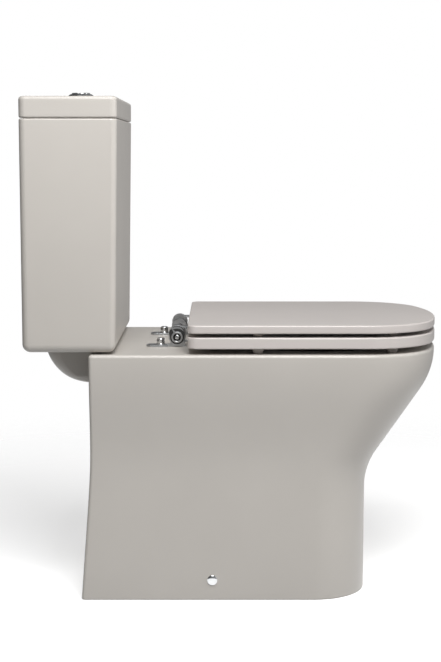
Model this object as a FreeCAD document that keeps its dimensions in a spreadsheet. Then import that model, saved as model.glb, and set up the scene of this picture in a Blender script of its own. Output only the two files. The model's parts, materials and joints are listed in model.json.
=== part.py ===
"""Close coupled toilet with its cistern, dual flush valve, fill valve, seat and hinges.

Millimetres, +Z up, the front towards -Y. The origin lies on the floor, midway across the width and
the depth of the whole toilet. Left is -X and right is +X.
"""
import FreeCAD, Part
import math
import os
import re
import Sketcher

SIZES = {
    # pan, outside
    "rim_height": 400.0,
    "rim_half_width": 186.0,
    "rim_tip": -334.0,
    "rim_corner_radius": 115.0,
    "rim_front_radius": 360.0,
    "rim_edge_radius": 5.0,
    "foot_half_width": 174.0,
    "foot_tip": -218.0,
    "foot_corner_radius": 87.0,
    "foot_front_radius": 834.0,
    "foot_edge_radius": 3.0,
    "waist_half_width": 163.0,
    "waist_height": 205.0,
    "rim_band_bottom": 394.0,
    "front_slope_angle": 36.4,
    "front_upper_radius": 102.6,
    "front_lower_radius": 103.7,
    "front_upright_height": 168.0,
    "panel_back": 232.2,
    "panel_back_slope": 0.075,
    "panel_slope_height": 215.0,
    "panel_slope_ease": 40.0,
    "outline_spacing": 24.0,
    "pan_wall": 12.0,
    "deck_underside": 374.0,
    # pan, cistern shelf and flush duct
    "shelf_back": 306.0,
    "shelf_half_width": 120.0,
    "shelf_corner_radius": 24.0,
    "shelf_front": 200.0,
    "shelf_bottom": 343.5,
    "shelf_back_edge": 394.0,
    "shelf_curve_depth": 290.0,
    "shelf_curve_height": 367.0,
    "duct_half_width": 45.0,
    "duct_front": -20.0,
    "duct_bottom": 334.0,
    "duct_top": 394.0,
    "duct_bore_radius": 20.0,
    "duct_bore_end": 222.0,
    "duct_axis_height": 360.0,
    "duct_foot_half_width": 26.0,
    "duct_foot_start": 212.0,
    "duct_foot_end": 270.0,
    "duct_foot_bottom": 359.0,
    "socket_radius": 41.0,
    "socket_floor": 382.0,
    "horn_radius": 30.0,
    "horn_floor": 370.0,
    # pan, bowl and trap
    "bowl_centre": -128.0,
    "bowl_half_length": 157.0,
    "bowl_half_width": 134.0,
    "bowl_wall": 13.0,
    "sump_centre": 15.0,
    "sump_height": 125.0,
    "sump_half_length": 46.0,
    "trap_start_depth": 23.0,
    "trap_start_height": 145.0,
    "trap_radius": 42.0,
    "trap_wall": 8.0,
    "spigot_radius": 51.0,
    "weir_depth": 105.0,
    "weir_height": 215.0,
    "outlet_height": 180.0,
    "outlet_bend": 152.0,
    "spigot_start": 170.0,
    "outlet_end": 228.0,
    # cistern
    "cistern_half_width": 184.0,
    "cistern_front_low": 189.6,
    "cistern_front_high": 184.0,
    "cistern_back": 336.5,
    "cistern_bottom": 403.0,
    "cistern_top": 768.0,
    "cistern_wall": 11.0,
    "cistern_floor": 428.0,
    "cistern_recess_top": 416.0,
    "cistern_recess_front": 203.0,
    "cistern_recess_back": 326.0,
    "cistern_recess_half_width": 166.0,
    "cistern_corner_radius": 12.0,
    "cistern_bottom_radius": 10.0,
    "cistern_rim_radius": 2.0,
    "wall_fixing_half_span": 100.0,
    "wall_fixing_height": 705.0,
    "wall_fixing_radius": 4.0,
    # cistern lid
    "lid_gap": 1.0,
    "lid_top": 802.4,
    "lid_ceiling": 788.0,
    "lid_lip_bottom": 758.0,
    "lid_lip_clearance": 2.5,
    "lid_top_radius": 5.5,
    "lid_bottom_radius": 2.0,
    # dual flush button
    "valve_depth": 256.0,
    "button_hole_radius": 23.0,
    "bezel_sleeve_radius": 22.4,
    "bezel_bore_radius": 15.7,
    "bezel_flange_radius": 25.0,
    "bezel_crown_radius": 22.4,
    "bezel_crown_start": 808.6,
    "bezel_lip_radius": 16.6,
    "bezel_crown": 812.0,
    "bezel_bottom": 772.0,
    "locknut_radius": 31.0,
    "locknut_height": 7.0,
    "button_radius": 15.2,
    "button_top": 813.6,
    "button_bottom": 799.0,
    "button_split": 259.0,
    "button_split_gap": 0.6,
    "push_rod_radius": 3.0,
    "push_rod_bottom": 714.0,
    "full_rod_depth": 247.0,
    "half_rod_depth": 266.0,
    # flush valve
    "tail_radius": 30.0,
    "tail_bore_radius": 26.0,
    "tail_bottom": 374.0,
    "tail_hole_radius": 31.5,
    "valve_gasket_height": 3.0,
    "valve_flange_radius": 42.0,
    "valve_flange_height": 5.0,
    "valve_seat_top": 441.0,
    "valve_seat_radius": 29.0,
    "seal_radius": 33.0,
    "seal_height": 3.0,
    "cage_radius": 38.0,
    "cage_wall": 3.0,
    "cage_bottom": 470.0,
    "cage_top": 640.0,
    "cage_leg_width": 9.0,
    "tube_radius": 14.0,
    "tube_bore_radius": 11.5,
    "tube_top": 672.0,
    "head_half_width": 24.0,
    "head_half_depth": 21.0,
    "head_top": 722.0,
    "head_cavity_top": 696.0,
    "head_bore_radius": 4.2,
    "head_bore_floor": 702.0,
    # cistern to pan coupling
    "backnut_radius": 38.0,
    "base_washer_radius": 45.0,
    "coupling_plate_top": 412.0,
    "coupling_plate_height": 2.5,
    "coupling_plate_half_width": 24.0,
    "coupling_plate_half_length": 98.0,
    "coupling_bolt_span": 80.0,
    "coupling_bolt_radius": 4.0,
    "coupling_bolt_bottom": 362.0,
    "coupling_nut_pocket": 19.0,
    "coupling_pocket_top": 385.0,
    "doughnut_top": 398.5,
    # fill valve
    "fill_across": 146.0,
    "fill_depth": 285.0,
    "fill_tail_radius": 10.48,
    "fill_tail_length": 44.0,
    "fill_shank_radius": 10.0,
    "fill_tail_bore_radius": 7.0,
    "fill_tail_bottom": 362.0,
    "fill_hole_radius": 11.5,
    "fill_flange_radius": 17.0,
    "fill_stem_radius": 11.0,
    "fill_head_bottom": 690.0,
    "fill_head_top": 728.0,
    "fill_head_radius": 17.0,
    "float_radius": 22.0,
    "float_bore_radius": 11.6,
    "float_bottom": 590.0,
    "float_height": 56.0,
    "float_collar_radius": 15.0,
    "float_collar_height": 8.0,
    # seat
    "seat_half_width": 184.0,
    "seat_tip": -334.3,
    "seat_rear": 76.4,
    "seat_corner_radius": 114.5,
    "seat_front_radius": 360.0,
    "seat_rear_radius": 13.0,
    "ring_bottom": 409.3,
    "ring_thickness": 18.0,
    "ring_edge_radius": 6.0,
    "seat_lid_bottom": 433.3,
    "seat_lid_thickness": 13.4,
    "seat_lid_edge_radius": 4.0,
    "opening_half_width": 112.0,
    "opening_tip": -262.0,
    "opening_rear": 12.0,
    "opening_corner_radius": 96.0,
    "opening_front_radius": 135.0,
    "opening_rear_radius": 92.0,
    "buffer_front": -249.0,
    "buffer_rear": -35.0,
    "buffer_length": 20.0,
    "buffer_width": 12.0,
    "buffer_across": 165.0,
    "buffer_front_across": 151.0,
    "buffer_clearance": 0.4,
    # hinges
    "hinge_across": 77.5,
    "pivot_depth": 95.4,
    "pivot_height": 416.0,
    "hinge_pin_radius": 3.0,
    "hinge_pin_clearance": 0.06,
    "hinge_foot_front": 82.0,
    "hinge_foot_back": 146.0,
    "hinge_foot_half_width": 12.0,
    "hinge_foot_height": 3.0,
    "hinge_slot_front": 118.0,
    "hinge_slot_back": 142.0,
    "hinge_slot_width": 7.0,
    "ear_half_width": 4.0,
    "ear_gap": 0.4,
    "ear_radius": 12.4,
    "strap_ear_width": 6.0,
    "strap_height": 3.0,
    "strap_half_width": 8.0,
    "strap_front": 22.0,
    "strap_hump_top": 435.6,
    "hump_front": 14.0,
    "hump_rear": 9.0,
    "pin_head_radius": 5.4,
    "pin_head_height": 2.2,
    "pin_head_gap": 0.3,
    "pin_collar_height": 2.0,
    "boss_radius": 9.0,
    "boss_bore_radius": 6.3,
    "boss_height": 1.6,
    "strap_screw_front": 34.0,
    "strap_screw_rear": 60.0,
    "strap_screw_radius": 2.0,
    "strap_screw_head_radius": 3.6,
    "strap_screw_head_height": 1.5,
    "strap_screw_depth": 9.0,
    "bolt_depth": 122.5,
    "bolt_head_radius": 7.0,
    "bolt_head_height": 11.0,
    "bolt_radius": 3.0,
    "bolt_bottom": 346.0,
    "bolt_hole_radius": 7.0,
    "fixing_washer_radius": 14.0,
    "fixing_washer_height": 4.0,
    "wing_nut_radius": 8.0,
    "wing_nut_height": 10.0,
    "wing_span": 17.0,
    "wing_thickness": 3.0,
    # floor fixing
    "bracket_depth": 37.6,
    "bracket_half_length": 20.0,
    "bracket_outer": 158.0,
    "bracket_leg": 6.0,
    "bracket_inner": 112.0,
    "bracket_foot_height": 5.0,
    "bracket_top": 52.0,
    "floor_hole_across": 128.0,
    "floor_hole_radius": 3.5,
    "side_fixing_height": 33.0,
    "side_hole_radius": 6.0,
    "side_screw_radius": 2.5,
    "side_screw_head_radius": 5.0,
    "cap_radius": 8.35,
    "cap_clearance": 0.3,
    "cap_stand_off": 3.2,
    "cap_stem_radius": 5.6,
}

doc = FreeCAD.newDocument("close_coupled_toilet")
sheet = doc.addObject("Spreadsheet::Sheet", "sizes")
for row_number, (alias, value) in enumerate(SIZES.items(), start=1):
    sheet.set(f"A{row_number}", alias)
    sheet.set(f"B{row_number}", str(value))
    sheet.setAlias(f"B{row_number}", alias)
doc.recompute()

NODES = []
UP = FreeCAD.Vector(0, 0, 1)
TURNS = {
    "Z": FreeCAD.Rotation(),
    "X": FreeCAD.Rotation(FreeCAD.Vector(0, 1, 0), 90),
    "Y": FreeCAD.Rotation(FreeCAD.Vector(1, 0, 0), -90),
}


def size(alias):
    """The number in a cell of the sheet."""
    return float(sheet.get(alias))


def cells(text):
    """An expression in which each alias is written as its cell in the sheet."""
    def bound(word):
        name = word.group()
        return "sizes." + name if name in SIZES else name

    return re.sub(r"[a-z_]+", bound, text)


def number(text):
    """What an expression over the sheet comes to."""
    return float(sheet.evalExpression(cells(text)))


def bind(item, name, text):
    """Drives one property of an object from the sheet."""
    item.setExpression(name, cells(text))


def place(item, across="0", depth="0", height="0", along="Z"):
    """Puts an object where three expressions say, turned so that its own Z lies along an axis."""
    item.Placement = FreeCAD.Placement(FreeCAD.Vector(), TURNS[along])
    for axis, text in zip("xyz", (across, depth, height)):
        bind(item, f"Placement.Base.{axis}", text)
    return item


def block(left, right, front, back, bottom, top):
    """A box between six expressions."""
    box = doc.addObject("Part::Box", "block")
    bind(box, "Length", f"({right}) - ({left})")
    bind(box, "Width", f"({back}) - ({front})")
    bind(box, "Height", f"({top}) - ({bottom})")
    return place(box, left, front, bottom)


def rod(radius, length, across, depth, height, along="Z"):
    """A cylinder that starts at a point and runs along +X, +Y or +Z."""
    item = doc.addObject("Part::Cylinder", "rod")
    bind(item, "Radius", radius)
    bind(item, "Height", length)
    return place(item, across, depth, height, along)


def fuse(*items):
    """One solid from several."""
    item = doc.addObject("Part::MultiFuse", "joined")
    item.Shapes = list(items)
    return item


def cut(item, *tools):
    """What is left of a solid once the tools are taken out of it."""
    result = doc.addObject("Part::Cut", "cut")
    result.Base = item
    result.Tool = tools[0] if len(tools) == 1 else fuse(*tools)
    return result


def common(first, second):
    """What two solids share."""
    result = doc.addObject("Part::Common", "common")
    result.Base = first
    result.Tool = second
    return result


def together(*items):
    """Separate solids that make up one sub-part."""
    group = doc.addObject("Part::Compound", "set")
    group.Links = list(items)
    return group


def node(label, item):
    """Names a sub-part and puts it on the list of files to write."""
    item.Label = label
    NODES.append(item)
    return item


def plane_of(body, role):
    return next(plane for plane in body.Origin.OriginFeatures if plane.Role == role)


def sketch_on(body, role, offset=None):
    """An empty sketch on one of the body's own planes, lifted off it by an expression."""
    sketch = body.newObject("Sketcher::SketchObject", "profile")
    sketch.AttachmentSupport = (plane_of(body, role), [""])
    sketch.MapMode = "FlatFace"
    if offset is not None:
        bind(sketch, "AttachmentOffset.Base.z", offset)
    return sketch


def hold(sketch, kind, index, point, text):
    """Fixes one coordinate of a sketch point with an expression."""
    constraint = sketch.addConstraint(Sketcher.Constraint(kind, -1, 1, index, point, number(text)))
    bind(sketch, f"Constraints[{constraint}]", text)


def draw_polygon(sketch, corners):
    """A closed polygon whose corners are pairs of expressions."""
    points = [FreeCAD.Vector(number(first), number(second), 0) for first, second in corners]
    start = sketch.GeometryCount
    for index, point in enumerate(points):
        line = Part.LineSegment(point, points[(index + 1) % len(points)])
        sketch.addGeometry(line, False)
    for index, (first, second) in enumerate(corners):
        following = start + (index + 1) % len(points)
        sketch.addConstraint(Sketcher.Constraint("Coincident", start + index, 2, following, 1))
        hold(sketch, "DistanceX", start + index, 1, first)
        hold(sketch, "DistanceY", start + index, 1, second)
    return sketch


def draw_circle(sketch, radius, across, depth):
    """A circle whose radius and centre are expressions."""
    centre = FreeCAD.Vector(number(across), number(depth), 0)
    index = sketch.addGeometry(Part.Circle(centre, UP, number(radius)), False)
    constraint = sketch.addConstraint(Sketcher.Constraint("Radius", index, number(radius)))
    bind(sketch, f"Constraints[{constraint}]", radius)
    hold(sketch, "DistanceX", index, 3, across)
    hold(sketch, "DistanceY", index, 3, depth)


def feature(body, kind, sketch, length, symmetric=False, backwards=False):
    """A pad or a pocket of a sketch."""
    item = body.newObject("PartDesign::" + kind, kind.lower())
    item.Profile = sketch
    bind(item, "Length", length)
    item.Midplane = symmetric
    item.Reversed = backwards
    doc.recompute()
    return item


def soften(body, base, radius, wanted):
    """Rounds the edges of a feature that a test picks out."""
    names = [f"Edge{i}" for i, edge in enumerate(base.Shape.Edges, start=1) if wanted(edge)]
    fillet = body.newObject("PartDesign::Fillet", "fillet")
    fillet.Base = (base, names)
    bind(fillet, "Radius", radius)
    doc.recompute()
    return fillet


def revolved(corners, across="0", depth="0"):
    """A solid turned about an upright axis from (radius, height) corners."""
    body = doc.addObject("PartDesign::Body", "turned")
    sketch = draw_polygon(sketch_on(body, "XZ_Plane"), corners)
    turn = body.newObject("PartDesign::Revolution", "revolution")
    turn.Profile = sketch
    turn.ReferenceAxis = (sketch, ["V_Axis"])
    turn.Angle = 360
    return place(body, across, depth)


def tube(inner, outer, bottom, top, across="0", depth="0"):
    """An upright sleeve, washer or nut blank."""
    return revolved([(inner, bottom), (outer, bottom), (outer, top), (inner, top)], across, depth)


def is_upright(edge):
    """Whether an edge rises from one height to another along a line that is nearly vertical."""
    box = edge.BoundBox
    return box.ZLength > 5 * max(box.XLength, box.YLength) and box.ZLength > 1


def lies_at(edge, height):
    """Whether an edge lies in the level plane at a height."""
    box = edge.BoundBox
    return abs(box.ZMin - height) < 0.01 and abs(box.ZMax - height) < 0.01


# ---------------------------------------------------------------------------------------------- pan


def eased(share):
    """Goes from 0 to 1 with level ends."""
    share = min(1.0, max(0.0, share))
    return share * share * (3 - 2 * share)


def front_tip(height):
    """How far forward the pan reaches: an arc under the rim, a slope, and an arc that ends at the foot."""
    slope = math.radians(size("front_slope_angle"))
    upper = size("front_upper_radius")
    lower = size("front_lower_radius")
    arc_bottom = size("rim_band_bottom") - upper * math.sin(slope)
    arc_top = size("front_upright_height") + lower * math.sin(slope)
    if height >= size("rim_band_bottom"):
        return size("rim_tip")
    if height >= arc_bottom:
        drop = size("rim_band_bottom") - height
        return size("rim_tip") + upper - math.sqrt(upper**2 - drop**2)
    if height <= size("front_upright_height"):
        return size("foot_tip")
    if height <= arc_top:
        rise = height - size("front_upright_height")
        return size("foot_tip") - lower + math.sqrt(lower**2 - rise**2)
    high_end = size("rim_tip") + upper * (1 - math.cos(slope))
    low_end = size("foot_tip") - lower * (1 - math.cos(slope))
    share = (height - arc_top) / (arc_bottom - arc_top)
    return low_end + share * (high_end - low_end)


def half_width(height):
    """Half the pan's width at a height: full at the rim, drawn in at the waist, wider at the foot."""
    waist = size("waist_half_width")
    if height >= size("waist_height"):
        share = (height - size("waist_height")) / (size("rim_band_bottom") - size("waist_height"))
        return waist + eased(share) * (size("rim_half_width") - waist)
    return waist + eased(1 - height / size("waist_height")) * (size("foot_half_width") - waist)


def panel_end(height):
    """Where the side panels end at the back, which sweeps out towards the floor."""
    drop = size("panel_slope_height") - height
    eased_drop = (drop + math.hypot(drop, size("panel_slope_ease"))) / 2
    return size("panel_back") + size("panel_back_slope") * eased_drop


def outline(height, inset=0.0, back=None):
    """The pan's level outline at a height, moved in by inset: straight sides, corner arcs, front arc."""
    tip = front_tip(height)
    share = (tip - size("rim_tip")) / (size("foot_tip") - size("rim_tip"))
    corner = size("rim_corner_radius") + share * (size("foot_corner_radius") - size("rim_corner_radius"))
    bend = (1 - share) / size("rim_front_radius") + share / size("foot_front_radius")
    back = back or panel_end(height)
    return rounded_front(half_width(height), tip, corner, 1 / bend, inset, back, height)


def rounded_front(half, tip, corner, front, inset, back, height):
    """A level wire: two straight sides that run into corner arcs and a front arc, and a straight back."""
    start = tip + front - math.sqrt((front - corner) ** 2 - (half - corner) ** 2)
    centre_x = half - corner
    centre_y = tip + front
    reach = math.hypot(centre_x, start - centre_y)
    join = FreeCAD.Vector(centre_x, start - centre_y, 0) * ((front - inset) / reach)
    corner_middle = math.atan2(join.y, join.x) / 2
    corner_radius = corner - inset

    def on_corner(angle, side):
        x = centre_x + corner_radius * math.cos(angle)
        return FreeCAD.Vector(side * x, start + corner_radius * math.sin(angle), height)

    right_join = FreeCAD.Vector(join.x, centre_y + join.y, height)
    left_join = FreeCAD.Vector(-join.x, centre_y + join.y, height)
    front_point = FreeCAD.Vector(0, tip + inset, height)
    side = half - inset
    right_back = FreeCAD.Vector(side, back, height)
    left_back = FreeCAD.Vector(-side, back, height)
    edges = [
        Part.LineSegment(right_back, on_corner(0, 1)),
        Part.Arc(on_corner(0, 1), on_corner(corner_middle, 1), right_join),
        Part.Arc(right_join, front_point, left_join),
        Part.Arc(left_join, on_corner(corner_middle, -1), on_corner(0, -1)),
        Part.LineSegment(on_corner(0, -1), left_back),
        Part.LineSegment(left_back, right_back),
    ]
    return Part.Wire([edge.toShape() for edge in edges])


def skirt_levels(bottom, top):
    """Evenly spaced heights of the outlines that the pan's walls are drawn through."""
    steps = round((top - bottom) / size("outline_spacing"))
    return [bottom + (top - bottom) * step / steps for step in range(steps + 1)]


def pan_block():
    """The pan's outside as one solid, its top and bottom edges rounded."""
    levels = skirt_levels(0, size("rim_height"))
    solid = Part.makeLoft([outline(level) for level in levels], True, False)
    top = [edge for edge in solid.Edges if lies_at(edge, size("rim_height"))]
    solid = solid.makeFillet(size("rim_edge_radius"), top)
    bottom = [edge for edge in solid.Edges if lies_at(edge, 0)]
    return solid.makeFillet(size("foot_edge_radius"), bottom)


def skirt_hollow():
    """The space between the side panels, open to the floor and to the back."""
    wall = size("pan_wall")
    past_the_panels = size("shelf_back")
    levels = skirt_levels(-1, size("deck_underside"))
    wires = [outline(level, wall, past_the_panels) for level in levels]
    return Part.makeLoft(wires, True, False)


def oval(centre, half_length, half_across, height):
    """A level ellipse with its long side along the depth or the width, whichever is larger."""
    middle = FreeCAD.Vector(0, centre, height)
    ends = [FreeCAD.Vector(0, centre + half_length, height), FreeCAD.Vector(half_across, centre, height)]
    if half_across > half_length:
        ends.reverse()
    return Part.Wire([Part.Ellipse(ends[0], ends[1], middle).toShape()])


def bowl_form(grown):
    """The bowl from its opening to its sump, grown on all sides by a wall."""
    opening = (size("bowl_centre"), size("bowl_half_length"), size("bowl_half_width"))
    sump = (size("sump_centre"), size("sump_half_length"), size("sump_half_length"))
    top = size("rim_height") + 1
    bottom = size("sump_height")
    wires = []
    for share in (0.0, 0.2, 0.45, 0.7, 0.88, 1.0):
        height = top + share * (bottom - top) - (grown if share == 1.0 else 0)
        drawn_in = share**1.8
        centre, length, across = [a + drawn_in * (b - a) for a, b in zip(opening, sump)]
        wires.append(oval(centre, length + grown, across + grown, height))
    return Part.makeLoft(wires, True, False)


def pipe(points, radius):
    """A run of straight round pipe through points of (depth, height), with ball corners."""
    places = [FreeCAD.Vector(0, depth, height) for depth, height in points]
    solid = None
    for first, second in zip(places, places[1:]):
        run = second - first
        piece = Part.makeCylinder(radius, run.Length, first, run)
        solid = piece if solid is None else solid.fuse(piece)
    for corner in places[:-1]:
        solid = solid.fuse(Part.makeSphere(radius, corner))
    return solid


def trap_route(end):
    """Where the trap runs: from the sump up over the weir, and down to the level outlet."""
    sump = (size("trap_start_depth"), size("trap_start_height"))
    weir = (size("weir_depth"), size("weir_height"))
    bend = (size("outlet_bend"), size("outlet_height"))
    return [sump, weir, bend, (end, size("outlet_height"))]


def shelf_block():
    """The shelf that carries the cistern behind the side panels, with a curved underside."""
    front = size("shelf_front")
    back = size("shelf_back")
    top = size("rim_height")
    bottom = size("shelf_bottom")
    half = size("shelf_half_width")
    corners = [(front, bottom), (front, top), (back, top), (back, size("shelf_back_edge"))]
    points = [FreeCAD.Vector(-half, depth, height) for depth, height in corners]
    curve_end = FreeCAD.Vector(-half, size("panel_back"), bottom)
    curve_middle = FreeCAD.Vector(-half, size("shelf_curve_depth"), size("shelf_curve_height"))
    edges = [Part.LineSegment(a, b).toShape() for a, b in zip(points, points[1:])]
    edges.append(Part.Arc(points[3], curve_middle, curve_end).toShape())
    edges.append(Part.LineSegment(curve_end, points[0]).toShape())
    solid = Part.Face(Part.Wire(edges)).extrude(FreeCAD.Vector(2 * half, 0, 0))
    corners_at_back = [edge for edge in solid.Edges if is_upright(edge) and edge.BoundBox.YMin > back - 1]
    return solid.makeFillet(size("shelf_corner_radius"), corners_at_back)


def span_box(left, right, front, back, bottom, top):
    """A plain box between six numbers."""
    corner = FreeCAD.Vector(left, front, bottom)
    return Part.makeBox(right - left, back - front, top - bottom, corner)


def upright_hole(radius, across, depth, bottom, top):
    return Part.makeCylinder(radius, top - bottom, FreeCAD.Vector(across, depth, bottom))


def duct_outside():
    """The duct's outside, a box from the bowl's back to the shelf."""
    half = size("duct_half_width")
    front = size("duct_front")
    return span_box(-half, half, front, size("panel_back"), size("duct_bottom"), size("duct_top"))


def duct_hollows():
    """The flush water's way: the horn under the valve, a shallow foot and a round bore to the bowl."""
    valve = size("valve_depth")
    half = size("duct_foot_half_width")
    foot_top = size("horn_floor") + 1
    along = FreeCAD.Vector(0, 1, 0)
    axis = FreeCAD.Vector(0, 0, size("duct_axis_height"))
    ends = (size("duct_foot_start"), size("duct_foot_end"))
    return [
        upright_hole(size("socket_radius"), 0, valve, size("socket_floor"), size("rim_height") + 1),
        upright_hole(size("horn_radius"), 0, valve, size("horn_floor"), size("rim_height")),
        span_box(-half, half, ends[0], ends[1], size("duct_foot_bottom"), foot_top),
        Part.makeCylinder(size("duct_bore_radius"), size("duct_bore_end"), axis, along),
    ]


def fixing_holes(side):
    """The holes of one side: the cistern bolt with its nut pocket, the seat bolt and the side screw."""
    bolt = side * size("coupling_bolt_span")
    hinge = side * size("hinge_across")
    valve = size("valve_depth")
    below = size("duct_bottom")
    above = size("rim_height") + 1
    pocket_top = size("coupling_pocket_top")
    widest = size("rim_half_width")
    outside = FreeCAD.Vector(side * widest, size("bracket_depth"), size("side_fixing_height"))
    reach = widest - size("bracket_inner")
    return [
        upright_hole(size("coupling_nut_pocket"), bolt, valve, below, pocket_top),
        upright_hole(size("coupling_bolt_radius") + 1, bolt, valve, below, above),
        upright_hole(size("bolt_hole_radius"), hinge, size("bolt_depth"), below, above),
        Part.makeCylinder(size("side_hole_radius"), reach, outside, FreeCAD.Vector(-side, 0, 0)),
    ]


def pan_shape():
    """The pan: skirt, deck, bowl, trap, cistern shelf and flush duct in one piece of ware."""
    shell = pan_block().cut(skirt_hollow())
    trap_end = size("spigot_start") + size("trap_wall")
    trap_outside = pipe(trap_route(trap_end), size("trap_radius") + size("trap_wall"))
    outlet_base = FreeCAD.Vector(0, size("spigot_start"), size("outlet_height"))
    outlet_length = size("outlet_end") - size("spigot_start")
    spigot = Part.makeCylinder(size("spigot_radius"), outlet_length, outlet_base, FreeCAD.Vector(0, 1, 0))
    half = size("rim_half_width")
    above_deck = span_box(-half, half, size("rim_tip"), half, size("duct_top"), size("rim_height") + 1)
    bowl_outside = bowl_form(size("bowl_wall")).cut(above_deck)
    ware = shell.fuse([shelf_block(), duct_outside(), trap_outside, spigot, bowl_outside])
    hollows = [bowl_form(0.0), pipe(trap_route(size("outlet_end") + 1), size("trap_radius"))]
    for hollow in hollows + duct_hollows() + fixing_holes(-1) + fixing_holes(1):
        ware = ware.cut(hollow)
    return ware.removeSplitter()


def make_pan():
    pan = doc.addObject("Part::Feature", "pan")
    shape = pan_shape()
    pan.Shape = shape.Solids[0] if len(shape.Solids) == 1 else shape
    pan.Placement = FreeCAD.Placement()
    node("pan", pan)


# ------------------------------------------------------------------------------------------ cistern


def make_cistern():
    """The cistern: a tapered box with a hollow foot, a valve hole, an inlet hole and wall fixing holes."""
    body = doc.addObject("PartDesign::Body", "cistern")
    side_view = [
        ("cistern_front_low", "cistern_bottom"),
        ("cistern_back", "cistern_bottom"),
        ("cistern_back", "cistern_top"),
        ("cistern_front_high", "cistern_top"),
    ]
    outside = draw_polygon(sketch_on(body, "YZ_Plane"), side_view)
    pad = feature(body, "Pad", outside, "2 * cistern_half_width", symmetric=True)
    upright = soften(body, pad, "cistern_corner_radius", is_upright)
    low = size("cistern_bottom")
    around = soften(body, upright, "cistern_bottom_radius", lambda edge: lies_at(edge, low))
    high = size("cistern_top")
    soften(body, around, "cistern_rim_radius", lambda edge: lies_at(edge, high))
    tank_view = [
        ("cistern_front_low + cistern_wall", "cistern_floor"),
        ("cistern_back - cistern_wall", "cistern_floor"),
        ("cistern_back - cistern_wall", "cistern_top + 1"),
        ("cistern_front_high + cistern_wall", "cistern_top + 1"),
    ]
    tank = draw_polygon(sketch_on(body, "YZ_Plane"), tank_view)
    feature(body, "Pocket", tank, "2 * (cistern_half_width - cistern_wall)", symmetric=True)
    recess_view = [
        ("cistern_recess_front", "cistern_bottom - 1"),
        ("cistern_recess_back", "cistern_bottom - 1"),
        ("cistern_recess_back", "cistern_recess_top"),
        ("cistern_recess_front", "cistern_recess_top"),
    ]
    recess = draw_polygon(sketch_on(body, "YZ_Plane"), recess_view)
    feature(body, "Pocket", recess, "2 * cistern_recess_half_width", symmetric=True)
    floor_holes = sketch_on(body, "XY_Plane", "cistern_floor + 1")
    draw_circle(floor_holes, "tail_hole_radius", "0", "valve_depth")
    draw_circle(floor_holes, "fill_hole_radius", "fill_across", "fill_depth")
    feature(body, "Pocket", floor_holes, "cistern_floor - cistern_bottom + 2")
    wall_holes = sketch_on(body, "XZ_Plane", "-cistern_back - 1")
    for side in ("-", ""):
        across = side + "wall_fixing_half_span"
        draw_circle(wall_holes, "wall_fixing_radius", across, "wall_fixing_height")
    feature(body, "Pocket", wall_holes, "cistern_wall + 2", backwards=True)
    node("cistern", body)


def make_cistern_lid():
    """The cistern lid: a shallow tray upside down, with a lip that drops inside the cistern."""
    body = doc.addObject("PartDesign::Body", "cistern_lid")

    def rectangle(inset, front):
        half = f"cistern_half_width - {inset}"
        return [
            (f"-({half})", f"{front} + {inset}"),
            (half, f"{front} + {inset}"),
            (half, f"cistern_back - {inset}"),
            (f"-({half})", f"cistern_back - {inset}"),
        ]

    outside = draw_polygon(
        sketch_on(body, "XY_Plane", "cistern_top + lid_gap"), rectangle("0", "cistern_front_high")
    )
    pad = feature(body, "Pad", outside, "lid_top - cistern_top - lid_gap")
    upright = soften(body, pad, "cistern_corner_radius", is_upright)
    high = size("lid_top")
    around = soften(body, upright, "lid_top_radius", lambda edge: lies_at(edge, high))
    low = size("cistern_top") + size("lid_gap")
    soften(body, around, "lid_bottom_radius", lambda edge: lies_at(edge, low))
    lip_inset = "(cistern_wall + lid_lip_clearance)"
    lip_plane = sketch_on(body, "XY_Plane", "lid_lip_bottom")
    lip = draw_polygon(lip_plane, rectangle(lip_inset, "cistern_front_high"))
    feature(body, "Pad", lip, "lid_ceiling - lid_lip_bottom")
    tray_inset = "(cistern_wall + lid_lip_clearance + 8)"
    tray_plane = sketch_on(body, "XY_Plane", "lid_ceiling")
    tray = draw_polygon(tray_plane, rectangle(tray_inset, "cistern_front_high"))
    feature(body, "Pocket", tray, "lid_ceiling - lid_lip_bottom + 1")
    hole = sketch_on(body, "XY_Plane", "lid_top + 1")
    draw_circle(hole, "button_hole_radius", "0", "valve_depth")
    feature(body, "Pocket", hole, "lid_top - lid_ceiling + 2")
    node("cistern_lid", body)


# ------------------------------------------------------------------------------------- flush button


def make_button():
    """The dual flush button: bezel, locknut, the two pushes side by side, and a rod under each."""
    bezel = revolved(
        [
            ("bezel_bore_radius", "bezel_bottom"),
            ("bezel_sleeve_radius", "bezel_bottom"),
            ("bezel_sleeve_radius", "lid_top"),
            ("bezel_flange_radius", "lid_top"),
            ("bezel_flange_radius", "lid_top + 1.4"),
            ("bezel_crown_radius", "bezel_crown_start"),
            ("bezel_lip_radius", "bezel_crown"),
            ("bezel_bore_radius", "bezel_crown"),
        ],
        depth="valve_depth",
    )
    node("button_bezel", bezel)
    nut_bottom = "lid_ceiling - locknut_height"
    nut = tube("bezel_sleeve_radius", "locknut_radius", nut_bottom, "lid_ceiling", depth="valve_depth")
    node("button_locknut", nut)
    reach = "valve_depth + button_radius + 1"
    start = "valve_depth - button_radius - 1"
    halves = {
        "full": (start, "button_split - button_split_gap", "full_rod_depth"),
        "half": ("button_split + button_split_gap", reach, "half_rod_depth"),
    }
    for name, (front, back, rod_depth) in halves.items():
        disc = rod("button_radius", "button_top - button_bottom", "0", "valve_depth", "button_bottom")
        reach = "button_radius + 1"
        share = block(f"-({reach})", reach, front, back, "button_bottom - 1", "button_top + 1")
        node(name + "_flush_button", common(disc, share))
        stem = rod("push_rod_radius", "button_bottom - push_rod_bottom", "0", rod_depth, "push_rod_bottom")
        node(name + "_push_rod", stem)


# -------------------------------------------------------------------------------------- flush valve


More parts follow.
